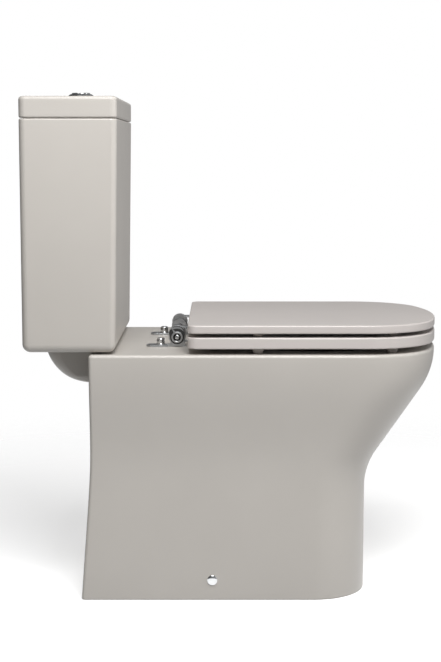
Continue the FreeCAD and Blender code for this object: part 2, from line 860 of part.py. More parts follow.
def make_flush_valve():
    """The flush valve in the cistern: base with its tail, cage and head, and the tube that lifts."""
    flange_bottom = "cistern_floor + valve_gasket_height"
    flange_top = "cistern_floor + valve_gasket_height + valve_flange_height"
    base = revolved(
        [
            ("tail_bore_radius", "tail_bottom"),
            ("tail_radius", "tail_bottom"),
            ("tail_radius", flange_bottom),
            ("valve_flange_radius", flange_bottom),
            ("valve_flange_radius", flange_top),
            ("valve_seat_radius + 1", flange_top),
            ("valve_seat_radius", "valve_seat_top"),
            ("tail_bore_radius", "valve_seat_top"),
        ],
        depth="valve_depth",
    )
    node("flush_valve_base", base)
    gasket = tube(
        "tail_hole_radius", "valve_flange_radius", "cistern_floor", flange_bottom, depth="valve_depth"
    )
    node("flush_valve_gasket", gasket)

    cage_inside = "cage_radius - cage_wall"
    cage = tube(cage_inside, "cage_radius", "cage_bottom", "cage_top", depth="valve_depth")
    half_leg = "cage_leg_width / 2"
    leg_top = "cage_bottom + 4"
    outer = "cage_radius - 0.4"
    inner = "cage_radius - cage_wall + 0.6"
    near = f"valve_depth - {half_leg}"
    far = f"valve_depth + {half_leg}"
    legs = [
        block(f"-({outer})", f"-({inner})", near, far, flange_top, leg_top),
        block(inner, outer, near, far, flange_top, leg_top),
        block(
            f"-{half_leg}",
            half_leg,
            f"valve_depth - ({outer})",
            f"valve_depth - ({inner})",
            flange_top,
            leg_top,
        ),
        block(
            f"-{half_leg}",
            half_leg,
            f"valve_depth + {inner}",
            f"valve_depth + {outer}",
            flange_top,
            leg_top,
        ),
    ]
    deck = tube("tube_radius + 0.6", "cage_radius", "cage_top", "cage_top + cage_wall", depth="valve_depth")
    head = block(
        "-head_half_width",
        "head_half_width",
        "valve_depth - head_half_depth",
        "valve_depth + head_half_depth",
        "cage_top + cage_wall",
        "head_top",
    )
    cavity = rod(
        "tube_radius + 2",
        "head_cavity_top - cage_top - cage_wall",
        "0",
        "valve_depth",
        "cage_top + cage_wall",
    )
    window = block(
        "-head_half_width - 1",
        "head_half_width + 1",
        "valve_depth - 7",
        "valve_depth + 7",
        "cage_top + cage_wall + 4",
        "head_cavity_top - 8",
    )
    bores = [
        rod("head_bore_radius", "head_top - head_bore_floor + 1", "0", rod_depth, "head_bore_floor")
        for rod_depth in ("full_rod_depth", "half_rod_depth")
    ]
    node("flush_valve_tower", cut(fuse(cage, *legs, deck, head), cavity, window, *bores))

    seal_bottom = "valve_seat_top"
    seal_top = "valve_seat_top + seal_height"
    seal = tube("tube_bore_radius + 1", "seal_radius", seal_bottom, seal_top, depth="valve_depth")
    node("flush_valve_seal", seal)
    lift_tube = revolved(
        [
            ("tube_bore_radius", seal_top),
            ("tail_bore_radius", seal_top),
            ("tail_bore_radius", seal_top + " + 3"),
            ("tube_radius", seal_top + " + 6"),
            ("tube_radius", "tube_top"),
            ("tube_bore_radius", "tube_top"),
        ],
        depth="valve_depth",
    )
    node("overflow_tube", lift_tube)


def wing_nut(across, depth, top):
    """A round nut with two wings, its top face at a height."""
    bottom = f"{top} - wing_nut_height"
    barrel = tube("bolt_radius + 0.1", "wing_nut_radius", bottom, top, across, depth)
    wings = block(
        f"{across} - wing_span",
        f"{across} + wing_span",
        f"{depth} - wing_thickness / 2",
        f"{depth} + wing_thickness / 2",
        bottom,
        f"{top} - 2",
    )
    hole = rod("coupling_bolt_radius + 0.1", "wing_nut_height + 2", across, depth, f"{bottom} - 1")
    return cut(fuse(barrel, wings), hole)


def make_coupling():
    """What holds the cistern on the pan: backnut, washers, plate, and two bolts with wing nuts."""
    plate_bottom = "coupling_plate_top - coupling_plate_height"
    washer = tube(
        "tail_radius", "base_washer_radius", "coupling_plate_top", "cistern_recess_top", depth="valve_depth"
    )
    node("cistern_base_washer", washer)
    blank = block(
        "-coupling_plate_half_length",
        "coupling_plate_half_length",
        "valve_depth - coupling_plate_half_width",
        "valve_depth + coupling_plate_half_width",
        plate_bottom,
        "coupling_plate_top",
    )
    wide = rod("base_washer_radius", "coupling_plate_height", "0", "valve_depth", plate_bottom)
    through = "coupling_plate_height + 2"
    below = plate_bottom + " - 1"
    holes = [rod("tail_radius + 0.5", through, "0", "valve_depth", below)]
    for side in ("-", ""):
        bolt = side + "coupling_bolt_span"
        holes.append(
            rod("coupling_bolt_radius + 0.2", through, bolt, "valve_depth", below)
        )
    node("coupling_plate", cut(fuse(blank, wide), *holes))
    backnut = tube("tail_radius", "backnut_radius", "doughnut_top", plate_bottom, depth="valve_depth")
    node("flush_valve_backnut", backnut)
    doughnut = revolved(
        [
            ("tail_radius", "socket_floor"),
            ("socket_radius - 4", "socket_floor"),
            ("socket_radius - 1", "socket_floor + 6"),
            ("socket_radius - 1", "doughnut_top - 3"),
            ("backnut_radius", "doughnut_top"),
            ("tail_radius", "doughnut_top"),
        ],
        depth="valve_depth",
    )
    node("doughnut_washer", doughnut)
    bolts, washers, nuts = [], [], []
    for side in ("-", ""):
        across = side + "coupling_bolt_span"
        bolts.append(
            revolved(
                [
                    ("0", "coupling_bolt_bottom"),
                    ("coupling_bolt_radius", "coupling_bolt_bottom"),
                    ("coupling_bolt_radius", "coupling_plate_top"),
                    ("coupling_bolt_radius + 2.5", "coupling_plate_top"),
                    ("coupling_bolt_radius + 2.5", "cistern_recess_top - 0.5"),
                    ("0", "cistern_recess_top - 0.5"),
                ],
                across,
                "valve_depth",
            )
        )
        washer_bottom = "coupling_pocket_top - fixing_washer_height"
        washers.append(
            tube(
                "coupling_bolt_radius + 0.2",
                "fixing_washer_radius",
                washer_bottom,
                "coupling_pocket_top",
                across,
                "valve_depth",
            )
        )
        nuts.append(wing_nut(across, "valve_depth", washer_bottom))
    node("coupling_bolts", together(*bolts))
    node("coupling_washers", together(*washers))
    node("coupling_wing_nuts", together(*nuts))


# --------------------------------------------------------------------------------------- fill valve


def make_fill_valve():
    """The bottom entry fill valve: threaded tail, stem and head in one, and a float cup that slides."""
    where = {"across": "fill_across", "depth": "fill_depth"}
    gasket_top = "cistern_floor + valve_gasket_height"
    gasket = tube("fill_hole_radius", "fill_flange_radius", "cistern_floor", gasket_top, **where)
    node("fill_valve_gasket", gasket)
    collar_bottom = "float_bottom - float_collar_height"
    body = revolved(
        [
            ("fill_tail_bore_radius", "fill_tail_bottom"),
            ("fill_tail_radius", "fill_tail_bottom"),
            ("fill_tail_radius", "fill_tail_bottom + fill_tail_length"),
            ("fill_shank_radius", "fill_tail_bottom + fill_tail_length"),
            ("fill_shank_radius", gasket_top),
            ("fill_flange_radius", gasket_top),
            ("fill_flange_radius", gasket_top + " + 4"),
            ("fill_stem_radius", gasket_top + " + 6"),
            ("fill_stem_radius", collar_bottom),
            ("float_collar_radius", collar_bottom),
            ("float_collar_radius", "float_bottom"),
            ("fill_stem_radius", "float_bottom"),
            ("fill_stem_radius", "fill_head_bottom"),
            ("fill_head_radius", "fill_head_bottom"),
            ("fill_head_radius", "fill_head_top"),
            ("0", "fill_head_top"),
            ("0", "fill_head_bottom + 10"),
            ("fill_tail_bore_radius", "fill_head_bottom + 10"),
        ],
        **where,
    )
    node("fill_valve_body", body)
    float_top = "float_bottom + float_height"
    cup = revolved(
        [
            ("float_bore_radius", "float_bottom"),
            ("float_radius", "float_bottom"),
            ("float_radius", float_top),
            ("float_radius - 2", float_top),
            ("float_radius - 2", float_top + " - 12"),
            ("float_bore_radius + 2", float_top + " - 12"),
            ("float_bore_radius + 2", float_top),
            ("float_bore_radius", float_top),
        ],
        **where,
    )
    node("fill_valve_float", cup)
    nut_top = "cistern_recess_top - 2"
    nut = tube("fill_shank_radius", "fill_flange_radius", nut_top + " - 8", nut_top, **where)
    node("fill_valve_backnut", nut)
    washer = tube("fill_shank_radius", "fill_flange_radius", nut_top, "cistern_recess_top", **where)
    node("fill_valve_washer", washer)


# --------------------------------------------------------------------------------------------- seat


def draw_seat_outline(sketch, half, tip, rear, corner, front, rear_radius):
    """A closed outline: straight sides, corner arcs into a front arc, and a round-cornered rear edge."""
    half_now, tip_now, rear_now = number(half), number(tip), number(rear)
    corner_now, front_now, rear_radius_now = number(corner), number(front), number(rear_radius)
    start = tip_now + front_now - math.sqrt((front_now - corner_now) ** 2 - (half_now - corner_now) ** 2)
    centre_y = tip_now + front_now
    lean = math.atan2(start - centre_y, half_now - corner_now)
    quarter = math.pi / 2

    def arc(across, depth, radius, first, last):
        circle = Part.Circle(FreeCAD.Vector(across, depth, 0), UP, radius)
        return Part.ArcOfCircle(circle, first, last)

    right_start = FreeCAD.Vector(half_now, start, 0)
    right_end = FreeCAD.Vector(half_now, rear_now - rear_radius_now, 0)
    rear_right = FreeCAD.Vector(half_now - rear_radius_now, rear_now, 0)
    rear_left = FreeCAD.Vector(rear_radius_now - half_now, rear_now, 0)
    left_start = FreeCAD.Vector(-half_now, rear_now - rear_radius_now, 0)
    left_end = FreeCAD.Vector(-half_now, start, 0)
    rear_centre = half_now - rear_radius_now
    pieces = [
        Part.LineSegment(right_start, right_end),
        arc(rear_centre, rear_now - rear_radius_now, rear_radius_now, 0, quarter),
        Part.LineSegment(rear_right, rear_left),
        arc(-rear_centre, rear_now - rear_radius_now, rear_radius_now, quarter, 2 * quarter),
        Part.LineSegment(left_start, left_end),
        arc(corner_now - half_now, start, corner_now, math.pi, math.pi - lean),
        arc(0, centre_y, front_now, -math.pi - lean, lean),
        arc(half_now - corner_now, start, corner_now, lean, 0),
    ]
    base = sketch.GeometryCount
    for piece in pieces:
        sketch.addGeometry(piece, False)
    for index in range(len(pieces)):
        following = base + (index + 1) % len(pieces)
        sketch.addConstraint(Sketcher.Constraint("Tangent", base + index, 2, following, 1))
    for index, text in ((1, rear_radius), (3, rear_radius), (5, corner), (6, front), (7, corner)):
        constraint = sketch.addConstraint(Sketcher.Constraint("Radius", base + index, number(text)))
        bind(sketch, f"Constraints[{constraint}]", text)
    sketch.addConstraint(Sketcher.Constraint("Vertical", base))
    sketch.addConstraint(Sketcher.Constraint("Vertical", base + 4))
    hold(sketch, "DistanceX", base, 1, half)
    hold(sketch, "DistanceX", base + 4, 1, f"-({half})")
    hold(sketch, "DistanceY", base + 2, 1, rear)
    hold(sketch, "DistanceX", base + 6, 3, "0")
    hold(sketch, "DistanceY", base + 6, 3, f"{tip} + {front}")
    return sketch


def strap_screw_places():
    """Where the hinge straps are screwed to the lid and the ring."""
    places = []
    for side in ("-", ""):
        for depth in ("strap_screw_front", "strap_screw_rear"):
            places.append((side + "hinge_across", depth))
    return places


def seat_slab(bottom, thickness, edge_radius, opening):
    """A seat-shaped slab with rounded edges and holes for the strap screws."""
    body = doc.addObject("PartDesign::Body", "slab")
    radii = ("seat_corner_radius", "seat_front_radius", "seat_rear_radius")
    plan = ("seat_half_width", "seat_tip", "seat_rear", *radii)
    sketch = draw_seat_outline(sketch_on(body, "XY_Plane", bottom), *plan)
    if opening:
        inner = (
            "opening_half_width",
            "opening_tip",
            "opening_rear",
            "opening_corner_radius",
            "opening_front_radius",
            "opening_rear_radius",
        )
        draw_seat_outline(sketch, *inner)
    pad = feature(body, "Pad", sketch, thickness)
    levels = (number(bottom), number(f"{bottom} + {thickness}"))
    soften(body, pad, edge_radius, lambda edge: any(lies_at(edge, level) for level in levels))
    holes = sketch_on(body, "XY_Plane", f"{bottom} - 1")
    for across, depth in strap_screw_places():
        draw_circle(holes, "strap_screw_radius", across, depth)
    feature(body, "Pocket", holes, "strap_screw_depth - strap_height + 1", backwards=True)
    return body


def buffers(bottom, top):
    """Four buffer pads, two each side, between two heights."""
    pads = []
    for side in ("-1", "1"):
        for across, depth in (("buffer_front_across", "buffer_front"), ("buffer_across", "buffer_rear")):
            middle = f"{side} * {across}"
            pads.append(
                block(
                    f"{middle} - buffer_width / 2",
                    f"{middle} + buffer_width / 2",
                    f"{depth} - buffer_length / 2",
                    f"{depth} + buffer_length / 2",
                    bottom,
                    top,
                )
            )
    return together(*pads)


def make_seat():
    """The seat ring and the lid over it, each with its buffers."""
    node("seat_lid", seat_slab("seat_lid_bottom", "seat_lid_thickness", "seat_lid_edge_radius", False))
    node("seat_ring", seat_slab("ring_bottom", "ring_thickness", "ring_edge_radius", True))
    node("lid_buffers", buffers("ring_bottom + ring_thickness + buffer_clearance", "seat_lid_bottom"))
    node("ring_buffers", buffers("rim_height + buffer_clearance", "ring_bottom"))


# ------------------------------------------------------------------------------------------- hinges


def sideways(near, far, side, middle):
    """Left and right ends of a span given as distances outward from the middle of a hinge."""
    ends = [f"{middle} + {side} * ({near})", f"{middle} + {side} * ({far})"]
    return ends if side == "1" else ends[::-1]


def hinge_disc(radius, near, far, side, middle):
    """A round plate about the pivot, between two distances outward from the hinge's middle."""
    left, right = sideways(near, far, side, middle)
    return rod(radius, f"({right}) - ({left})", left, "pivot_depth", "pivot_height", "X")


def make_hinge_base(side, middle, name):
    """The part of a hinge that is bolted to the pan: a slotted foot with one upright ear."""
    foot = block(
        f"{middle} - hinge_foot_half_width",
        f"{middle} + hinge_foot_half_width",
        "hinge_foot_front",
        "hinge_foot_back",
        "rim_height",
        "rim_height + hinge_foot_height",
    )
    post = block(
        f"{middle} - ear_half_width",
        f"{middle} + ear_half_width",
        "pivot_depth - ear_radius",
        "pivot_depth + ear_radius - 1",
        "rim_height",
        "pivot_height - 4",
    )
    ear = hinge_disc("ear_radius", "-ear_half_width", "ear_half_width", side, middle)
    hole = hinge_disc("hinge_pin_radius", "-ear_half_width - 1", "ear_half_width + 1", side, middle)
    slot_half = "hinge_slot_width / 2"
    slot_height = "hinge_foot_height + 2"
    slot_bottom = "rim_height - 1"
    slot = block(
        f"{middle} - {slot_half}",
        f"{middle} + {slot_half}",
        f"hinge_slot_front + {slot_half}",
        f"hinge_slot_back - {slot_half}",
        slot_bottom,
        f"{slot_bottom} + {slot_height}",
    )
    ends = [
        rod(slot_half, slot_height, middle, f"hinge_slot_front + {slot_half}", slot_bottom),
        rod(slot_half, slot_height, middle, f"hinge_slot_back - {slot_half}", slot_bottom),
    ]
    node(f"hinge_base_{name}", cut(fuse(foot, post, ear), hole, slot, *ends))


def strap_blank(middle, bottom, top):
    """The flat of a strap, with its two screw holes."""
    flat = block(
        f"{middle} - strap_half_width",
        f"{middle} + strap_half_width",
        "strap_front",
        "seat_rear",
        bottom,
        top,
    )
    holes = [
        rod("strap_screw_radius", f"({top}) - ({bottom}) + 2", middle, depth, f"{bottom} - 1")
        for depth in ("strap_screw_front", "strap_screw_rear")
    ]
    return cut(flat, *holes)


def make_lid_strap(side, middle, name):
    """The strap that carries the lid: an outer ear with a boss, a hump over the pivot and a flat."""
    near = "ear_half_width + ear_gap"
    far = "ear_half_width + ear_gap + strap_ear_width"
    left, right = sideways(near, far, side, middle)
    bottom = "seat_lid_bottom - strap_height"
    ear = hinge_disc("ear_radius", near, far, side, middle)
    web = block(
        left, right, "pivot_depth - ear_radius", "pivot_depth + 6", "pivot_height", "strap_hump_top - 2"
    )
    arch = block(
        f"{middle} - ({far})",
        f"{middle} + ({far})",
        "pivot_depth - hump_front",
        "pivot_depth + hump_rear",
        bottom,
        "strap_hump_top",
    )
    hump = common(arch, hinge_disc("strap_hump_top - pivot_height", f"-({far})", far, side, middle))
    bridge = block(
        f"{middle} - strap_half_width",
        f"{middle} + strap_half_width",
        "seat_rear - 2",
        "pivot_depth - 4",
        bottom,
        "seat_lid_bottom",
    )
    flat = strap_blank(middle, bottom, "seat_lid_bottom")
    boss_far = far + " + boss_height"
    boss = hinge_disc("boss_radius", far, boss_far, side, middle)
    boss_bore = hinge_disc("boss_bore_radius", far, boss_far + " + 1", side, middle)
    running = "hinge_pin_radius + hinge_pin_clearance"
    hole = hinge_disc(running, near + " - 1", far + " + 1", side, middle)
    node(f"lid_strap_{name}", cut(fuse(ear, web, hump, bridge, flat, boss), boss_bore, hole))


def make_ring_strap(side, middle, name):
    """The strap that carries the seat ring: an inner ear and a flat under the ring."""
    near = "-ear_half_width - ear_gap"
    far = "-ear_half_width - ear_gap - strap_ear_width"
    left, right = sideways(far, near, side, middle)
    bottom = "ring_bottom - strap_height"
    ear = hinge_disc("ear_radius", far, near, side, middle)
    web = block(left, right, "seat_rear - 2", "pivot_depth", bottom, "ring_bottom")
    flat = strap_blank(middle, bottom, "ring_bottom")
    running = "hinge_pin_radius + hinge_pin_clearance"
    hole = hinge_disc(running, far + " - 1", near + " + 1", side, middle)
    node(f"ring_strap_{name}", cut(fuse(ear, web, flat), hole))


def hinge_pin(side, middle):
    """The shoulder screw through a hinge, with a head outside and a collar inside."""
    reach = "ear_half_width + ear_gap + strap_ear_width"
    shank = hinge_disc("hinge_pin_radius", f"-({reach}) - 2", reach, side, middle)
    gap = "pin_head_gap"
    head = hinge_disc("pin_head_radius", f"{reach} + {gap}", f"{reach} + pin_head_height", side, middle)
    neck = hinge_disc("hinge_pin_radius", reach, f"{reach} + {gap}", side, middle)
    collar = hinge_disc(
        "pin_head_radius", f"-({reach}) - {gap} - pin_collar_height", f"-({reach}) - {gap}", side, middle
    )
    return fuse(shank, head, neck, collar)


def strap_screws(underside):
    """Four flat-headed screws driven up through the straps."""
    screws = []
    for across, depth in strap_screw_places():
        head_bottom = f"{underside} - strap_screw_head_height"
        screws.append(
            revolved(
                [
                    ("0", head_bottom),
                    ("strap_screw_head_radius", head_bottom),
                    ("strap_screw_head_radius", underside),
                    ("strap_screw_radius", underside),
                    ("strap_screw_radius", f"{underside} + strap_screw_depth"),
                    ("0", f"{underside} + strap_screw_depth"),
                ],
                across,
                depth,
            )
        )
    return together(*screws)


def hinge_bolt(across):
    """The bolt that holds a hinge foot on the deck."""
    seat_height = "rim_height + hinge_foot_height"
    return revolved(
        [
            ("0", "bolt_bottom"),
            ("bolt_radius", "bolt_bottom"),
            ("bolt_radius", seat_height),
            ("bolt_head_radius", seat_height),
            ("bolt_head_radius", f"{seat_height} + bolt_head_height - 2"),
            ("bolt_head_radius - 2", f"{seat_height} + bolt_head_height"),
            ("0", f"{seat_height} + bolt_head_height"),
        ],
        across,
        "bolt_depth",
    )


def make_hinges():
    pins, bolts, washers, nuts = [], [], [], []
    for side, name in (("-1", "left"), ("1", "right")):
        middle = f"({side} * hinge_across)"
        make_hinge_base(side, middle, name)
        make_lid_strap(side, middle, name)
        make_ring_strap(side, middle, name)
        pins.append(hinge_pin(side, middle))
        bolts.append(hinge_bolt(middle))
        washer_bottom = "deck_underside - fixing_washer_height"
        washers.append(
            tube(
                "bolt_radius + 0.2",
                "fixing_washer_radius",
                washer_bottom,
                "deck_underside",
                middle,
                "bolt_depth",
            )
        )
        nuts.append(wing_nut(middle, "bolt_depth", washer_bottom))
    node("hinge_pins", together(*pins))
    node("lid_strap_screws", strap_screws("seat_lid_bottom - strap_height"))
    node("ring_strap_screws", strap_screws("ring_bottom - strap_height"))
    node("hinge_bolts", together(*bolts))
    node("hinge_washers", together(*washers))
    node("hinge_wing_nuts", together(*nuts))


# ------------------------------------------------------------------------------------- floor fixing


def floor_bracket(side):
    """An angle bracket on the floor inside the skirt, with a floor screw hole and a side screw hole."""
    leg_left, leg_right = sideways("bracket_outer - bracket_leg", "bracket_outer", side, "0")
    foot_left, foot_right = sideways("bracket_inner", "bracket_outer", side, "0")
    front = "bracket_depth - bracket_half_length"
    back = "bracket_depth + bracket_half_length"
    leg = block(leg_left, leg_right, front, back, "0", "bracket_top")
    foot = block(foot_left, foot_right, front, back, "0", "bracket_foot_height")
    floor_hole = rod(
        "floor_hole_radius", "bracket_foot_height + 2", f"{side} * floor_hole_across", "bracket_depth", "-1"
    )
    side_hole = rod(
        "side_screw_radius",
        "bracket_leg + 2",
        f"{leg_left} - 1",
        "bracket_depth",
        "side_fixing_height",
        "X",
    )
    return cut(fuse(leg, foot), floor_hole, side_hole)


def side_disc(radius, near, far, side):
    """A round piece on the side fixing's axis, between two distances from the middle of the pan."""
    left, right = sideways(near, far, side, "0")
    return rod(radius, f"({right}) - ({left})", left, "bracket_depth", "side_fixing_height", "X")


def make_floor_fixing():
    """Brackets, the screws that hold the pan to them, and the caps over the screws."""
    surface = half_width(size("side_fixing_height")) + size("cap_clearance")
    brackets, screws, caps = [], [], []
    for side in ("-1", "1"):
        brackets.append(floor_bracket(side))
        shank_end = "foot_half_width - 6"
        shank = side_disc("side_screw_radius", "bracket_outer - bracket_leg - 4", shank_end, side)
        head = side_disc("side_screw_head_radius", "foot_half_width - 9", "foot_half_width - 6", side)
        screws.append(fuse(shank, head))
        stem = side_disc("cap_stem_radius", "foot_half_width - 5", f"{surface}", side)
        rim = side_disc("cap_radius", f"{surface}", f"{surface} + cap_stand_off - 1.2", side)
        crown = side_disc("cap_radius - 1.2", f"{surface}", f"{surface} + cap_stand_off", side)
        caps.append(fuse(stem, rim, crown))
    node("floor_brackets", together(*brackets))
    node("side_screws", together(*screws))
    node("fixing_caps", together(*caps))


def check_and_write():
    """Stops if an object failed, then writes each sub-part to a file of its own name."""
    doc.recompute()
    for item in doc.Objects:
        if "Invalid" in item.State or "Error" in item.State:
            raise RuntimeError(f"{item.Label} ({item.TypeId}) failed: {item.State}")
    os.makedirs("parts", exist_ok=True)
    for item in NODES:
        shape = item.Shape
        if shape.isNull() or not shape.isValid() or not shape.Solids:
            raise RuntimeError(f"{item.Label} has no valid solid")
        shape.exportStep(f"parts/{item.Label}.step")
        box = shape.optimalBoundingBox()
        spans = f"X {box.XMin:.1f}..{box.XMax:.1f} Y {box.YMin:.1f}..{box.YMax:.1f}"
        spans += f" Z {box.ZMin:.1f}..{box.ZMax:.1f}"
        print(f"{item.Label}: {len(shape.Solids)} solids, {shape.Volume / 1000:.1f} cm3, {spans}")


make_pan()
make_cistern()
make_cistern_lid()
make_button()
make_flush_valve()
make_coupling()
make_fill_valve()
make_seat()
make_hinges()
make_floor_fixing()
check_and_write()
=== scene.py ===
"""Looks of a close coupled toilet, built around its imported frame.

Metres everywhere in the scene; the shaping functions below work in millimetres and are scaled once, when a
mesh is made. +Z is up, the front faces -Y, left is -X, and the camera stands on the left.
"""
import json
import math

import bmesh
import bpy
import numpy as np
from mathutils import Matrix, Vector


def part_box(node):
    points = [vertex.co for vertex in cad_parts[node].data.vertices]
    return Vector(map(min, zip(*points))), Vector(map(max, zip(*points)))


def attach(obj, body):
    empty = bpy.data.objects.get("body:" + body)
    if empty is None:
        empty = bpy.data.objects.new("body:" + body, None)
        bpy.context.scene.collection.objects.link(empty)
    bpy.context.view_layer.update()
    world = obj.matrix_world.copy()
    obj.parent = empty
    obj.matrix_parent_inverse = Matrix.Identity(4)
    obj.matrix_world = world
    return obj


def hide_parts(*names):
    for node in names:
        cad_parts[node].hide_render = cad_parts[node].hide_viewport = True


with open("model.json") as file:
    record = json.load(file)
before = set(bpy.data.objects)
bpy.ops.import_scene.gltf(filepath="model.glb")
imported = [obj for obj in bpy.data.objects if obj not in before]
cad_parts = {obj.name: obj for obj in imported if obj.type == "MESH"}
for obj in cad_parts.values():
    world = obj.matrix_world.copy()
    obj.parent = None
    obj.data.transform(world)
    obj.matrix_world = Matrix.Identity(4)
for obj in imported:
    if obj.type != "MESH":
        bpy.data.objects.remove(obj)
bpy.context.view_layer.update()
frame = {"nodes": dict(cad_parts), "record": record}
MM = 0.001


def span(node):
    """Lowest and highest corner of a CAD node, in millimetres."""
    low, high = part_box(node)
    return low / MM, high / MM


PAN_LOW, PAN_HIGH = span("pan")
CISTERN_LOW, CISTERN_HIGH = span("cistern")
COVER_LOW, COVER_HIGH = span("cistern_lid")
LID_LOW, LID_HIGH = span("seat_lid")
RING_LOW, RING_HIGH = span("seat_ring")

# ------------------------------------------------------------------------------------- mesh helpers


def add_mesh(name, points, faces):
    """A new object from millimetre points."""
    mesh = bpy.data.meshes.new(name)
    mesh.from_pydata([tuple(float(c) * MM for c in p) for p in points], [], faces)
    mesh.validate()
    piece = bpy.data.objects.new(name, mesh)
    bpy.context.scene.collection.objects.link(piece)
    face_outwards(piece)
    return piece


def face_outwards(piece):
    """Turns every face of a closed mesh to point out."""
    edit = bmesh.new()
    edit.from_mesh(piece.data)
    bmesh.ops.recalc_face_normals(edit, faces=edit.faces)
    edit.to_mesh(piece.data)
    edit.free()


def loft(name, rows):
    """A closed form through rings of points, all of the same length, capped at both ends."""
    count = len(rows[0])
    points = [tuple(point) for row in rows for point in row]
    faces = []
    for level in range(len(rows) - 1):
        base = level * count
        for index in range(count):
            after = (index + 1) % count
            faces.append((base + index, base + after, base + count + after, base + count + index))
    faces.append(tuple(range(count))[::-1])
    top = (len(rows) - 1) * count
    faces.append(tuple(range(top, top + count)))
    return add_mesh(name, points, faces)


def torus_loft(name, rings):
    """A form through closed rings that itself closes on the first ring."""
    count = len(rings[0])
    points = [tuple(point) for ring in rings for point in ring]
    faces = []
    for level in range(len(rings)):
        base = level * count
        following = ((level + 1) % len(rings)) * count
        for index in range(count):
            after = (index + 1) % count
            faces.append((base + index, base + after, following + after, following + index))
    return add_mesh(name, points, faces)


def delete(piece):
    mesh = piece.data
    bpy.data.objects.remove(piece)
    if mesh.users == 0:
        bpy.data.meshes.remove(mesh)


def combine(target, operation, *tools):
    """Joins tools to a piece or cuts them from it, and uses them up."""
    for tool in tools:
        step = target.modifiers.new("step", "BOOLEAN")
        step.operation = operation
        step.solver = "MANIFOLD"
        step.object = tool
        graph = bpy.context.evaluated_depsgraph_get()
        result = bpy.data.meshes.new_from_object(target.evaluated_get(graph))
        target.modifiers.clear()
        old = target.data
        target.data = result
        bpy.data.meshes.remove(old)
        delete(tool)
    return target


def soften(piece, width, segments=3, angle=32):
    """Rounds the edges of a piece that are sharper than an angle."""
    bevel = piece.modifiers.new("edges", "BEVEL")
    bevel.width = width * MM
    bevel.segments = segments
    bevel.limit_method = "ANGLE"
    bevel.angle_limit = math.radians(angle)
    bevel.harden_normals = False
    bevel.miter_outer = "MITER_ARC"
    return bake(piece)


def bake(piece):
    """Makes what a piece's modifiers show into its own mesh."""
    graph = bpy.context.evaluated_depsgraph_get()
    result = bpy.data.meshes.new_from_object(piece.evaluated_get(graph))
    piece.modifiers.clear()
    old = piece.data
    piece.data = result
    bpy.data.meshes.remove(old)
    return piece


def shade(piece, angle=35):
    """Smooth shading that breaks at sharp edges, with flat faces kept flat."""
    edit = bmesh.new()
    edit.from_mesh(piece.data)
    bmesh.ops.remove_doubles(edit, verts=edit.verts, dist=0.00001)
    for face in edit.faces:
        face.smooth = True
    for edge in edit.edges:
        sharp = len(edge.link_faces) != 2 or edge.calc_face_angle(0) > math.radians(angle)
        edge.smooth = not sharp
    edit.to_mesh(piece.data)
    edit.free()
    weighted = piece.modifiers.new("normals", "WEIGHTED_NORMAL")
    weighted.keep_sharp = True
    weighted.weight = 60
    return piece


def dress(piece, material, slot_name, body, *nodes):
    """Finishes a piece: its material, its body and the CAD nodes it stands for. The slot name is not used.
    """
    piece.data.materials.clear()
    piece.data.materials.append(material)
    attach(piece, body)
    if nodes:
        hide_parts(*nodes)
    return piece


def arc_points(across, depth, radius, first, last, count):
    """Points on an arc between two angles in degrees, both ends included."""
    angles = np.radians(np.linspace(first, last, count))
    return [(across + radius * math.cos(a), depth + radius * math.sin(a)) for a in angles]


def at_height(outline, height):
    return [(x, y, height) for x, y in outline]


def rounded_rectangle(half, front, back, radius, steps=10, rear_radius=None):
    """A level outline: a rectangle centred across, with round corners."""
    rear = radius if rear_radius is None else rear_radius
    return (
        arc_points(half - rear, back - rear, rear, 0, 90, steps)
        + arc_points(rear - half, back - rear, rear, 90, 180, steps)
        + arc_points(radius - half, front + radius, radius, 180, 270, steps)
        + arc_points(half - radius, front + radius, radius, 270, 360, steps)
    )


def edge_rounding(radius, steps=7):
    """(rise, inset) pairs round a quarter circle, from the face below to the side wall above it."""
    angles = np.linspace(0, math.pi / 2, steps)
    return [(radius - radius * math.cos(a), radius - radius * math.sin(a)) for a in angles]


def box_form(name, half, front, back, bottom, top, radius, steps=8):
    """A plain upright block with round upright corners."""
    outline = rounded_rectangle(half, front, back, radius, steps)
    return loft(name, [at_height(outline, bottom), at_height(outline, top)])


def turned(name, profile, across=0.0, depth=0.0, steps=64):
    """A closed form turned about an upright axis from (radius, height) points that go up the outside."""
    rows = []
    for radius, height in profile:
        ring = arc_points(0, 0, radius, 0, 360, steps + 1)[:-1]
        rows.append([(across + x, depth + y, height) for x, y in ring])
    return loft(name, rows)


def turned_ring(name, profile, across=0.0, depth=0.0, steps=64):
    """A ring turned about an upright axis from a closed (radius, height) profile."""
    rings = []
    for angle in np.linspace(0, 2 * math.pi, steps, endpoint=False):
        c, s = math.cos(angle), math.sin(angle)
        rings.append([(across + radius * c, depth + radius * s, height) for radius, height in profile])
    return torus_loft(name, rings)


def smooth_path(points, radius, steps=9):
    """A route of straight runs with each inner corner turned into an arc of about a radius."""
    points = [Vector(p) for p in points]
    route = [points[0]]
    for before, corner, after in zip(points, points[1:], points[2:]):
        back = (before - corner).normalized()
        ahead = (after - corner).normalized()
        turn = math.pi - back.angle(ahead)
        shorter = min((before - corner).length, (after - corner).length)
        reach = min(radius * math.tan(turn / 2), 0.48 * shorter)
        start = corner + back * reach
        end = corner + ahead * reach
        for t in np.linspace(0, 1, steps):
            route.append(start * (1 - t) ** 2 + corner * 2 * t * (1 - t) + end * t**2)
    route.append(points[-1])
    return route


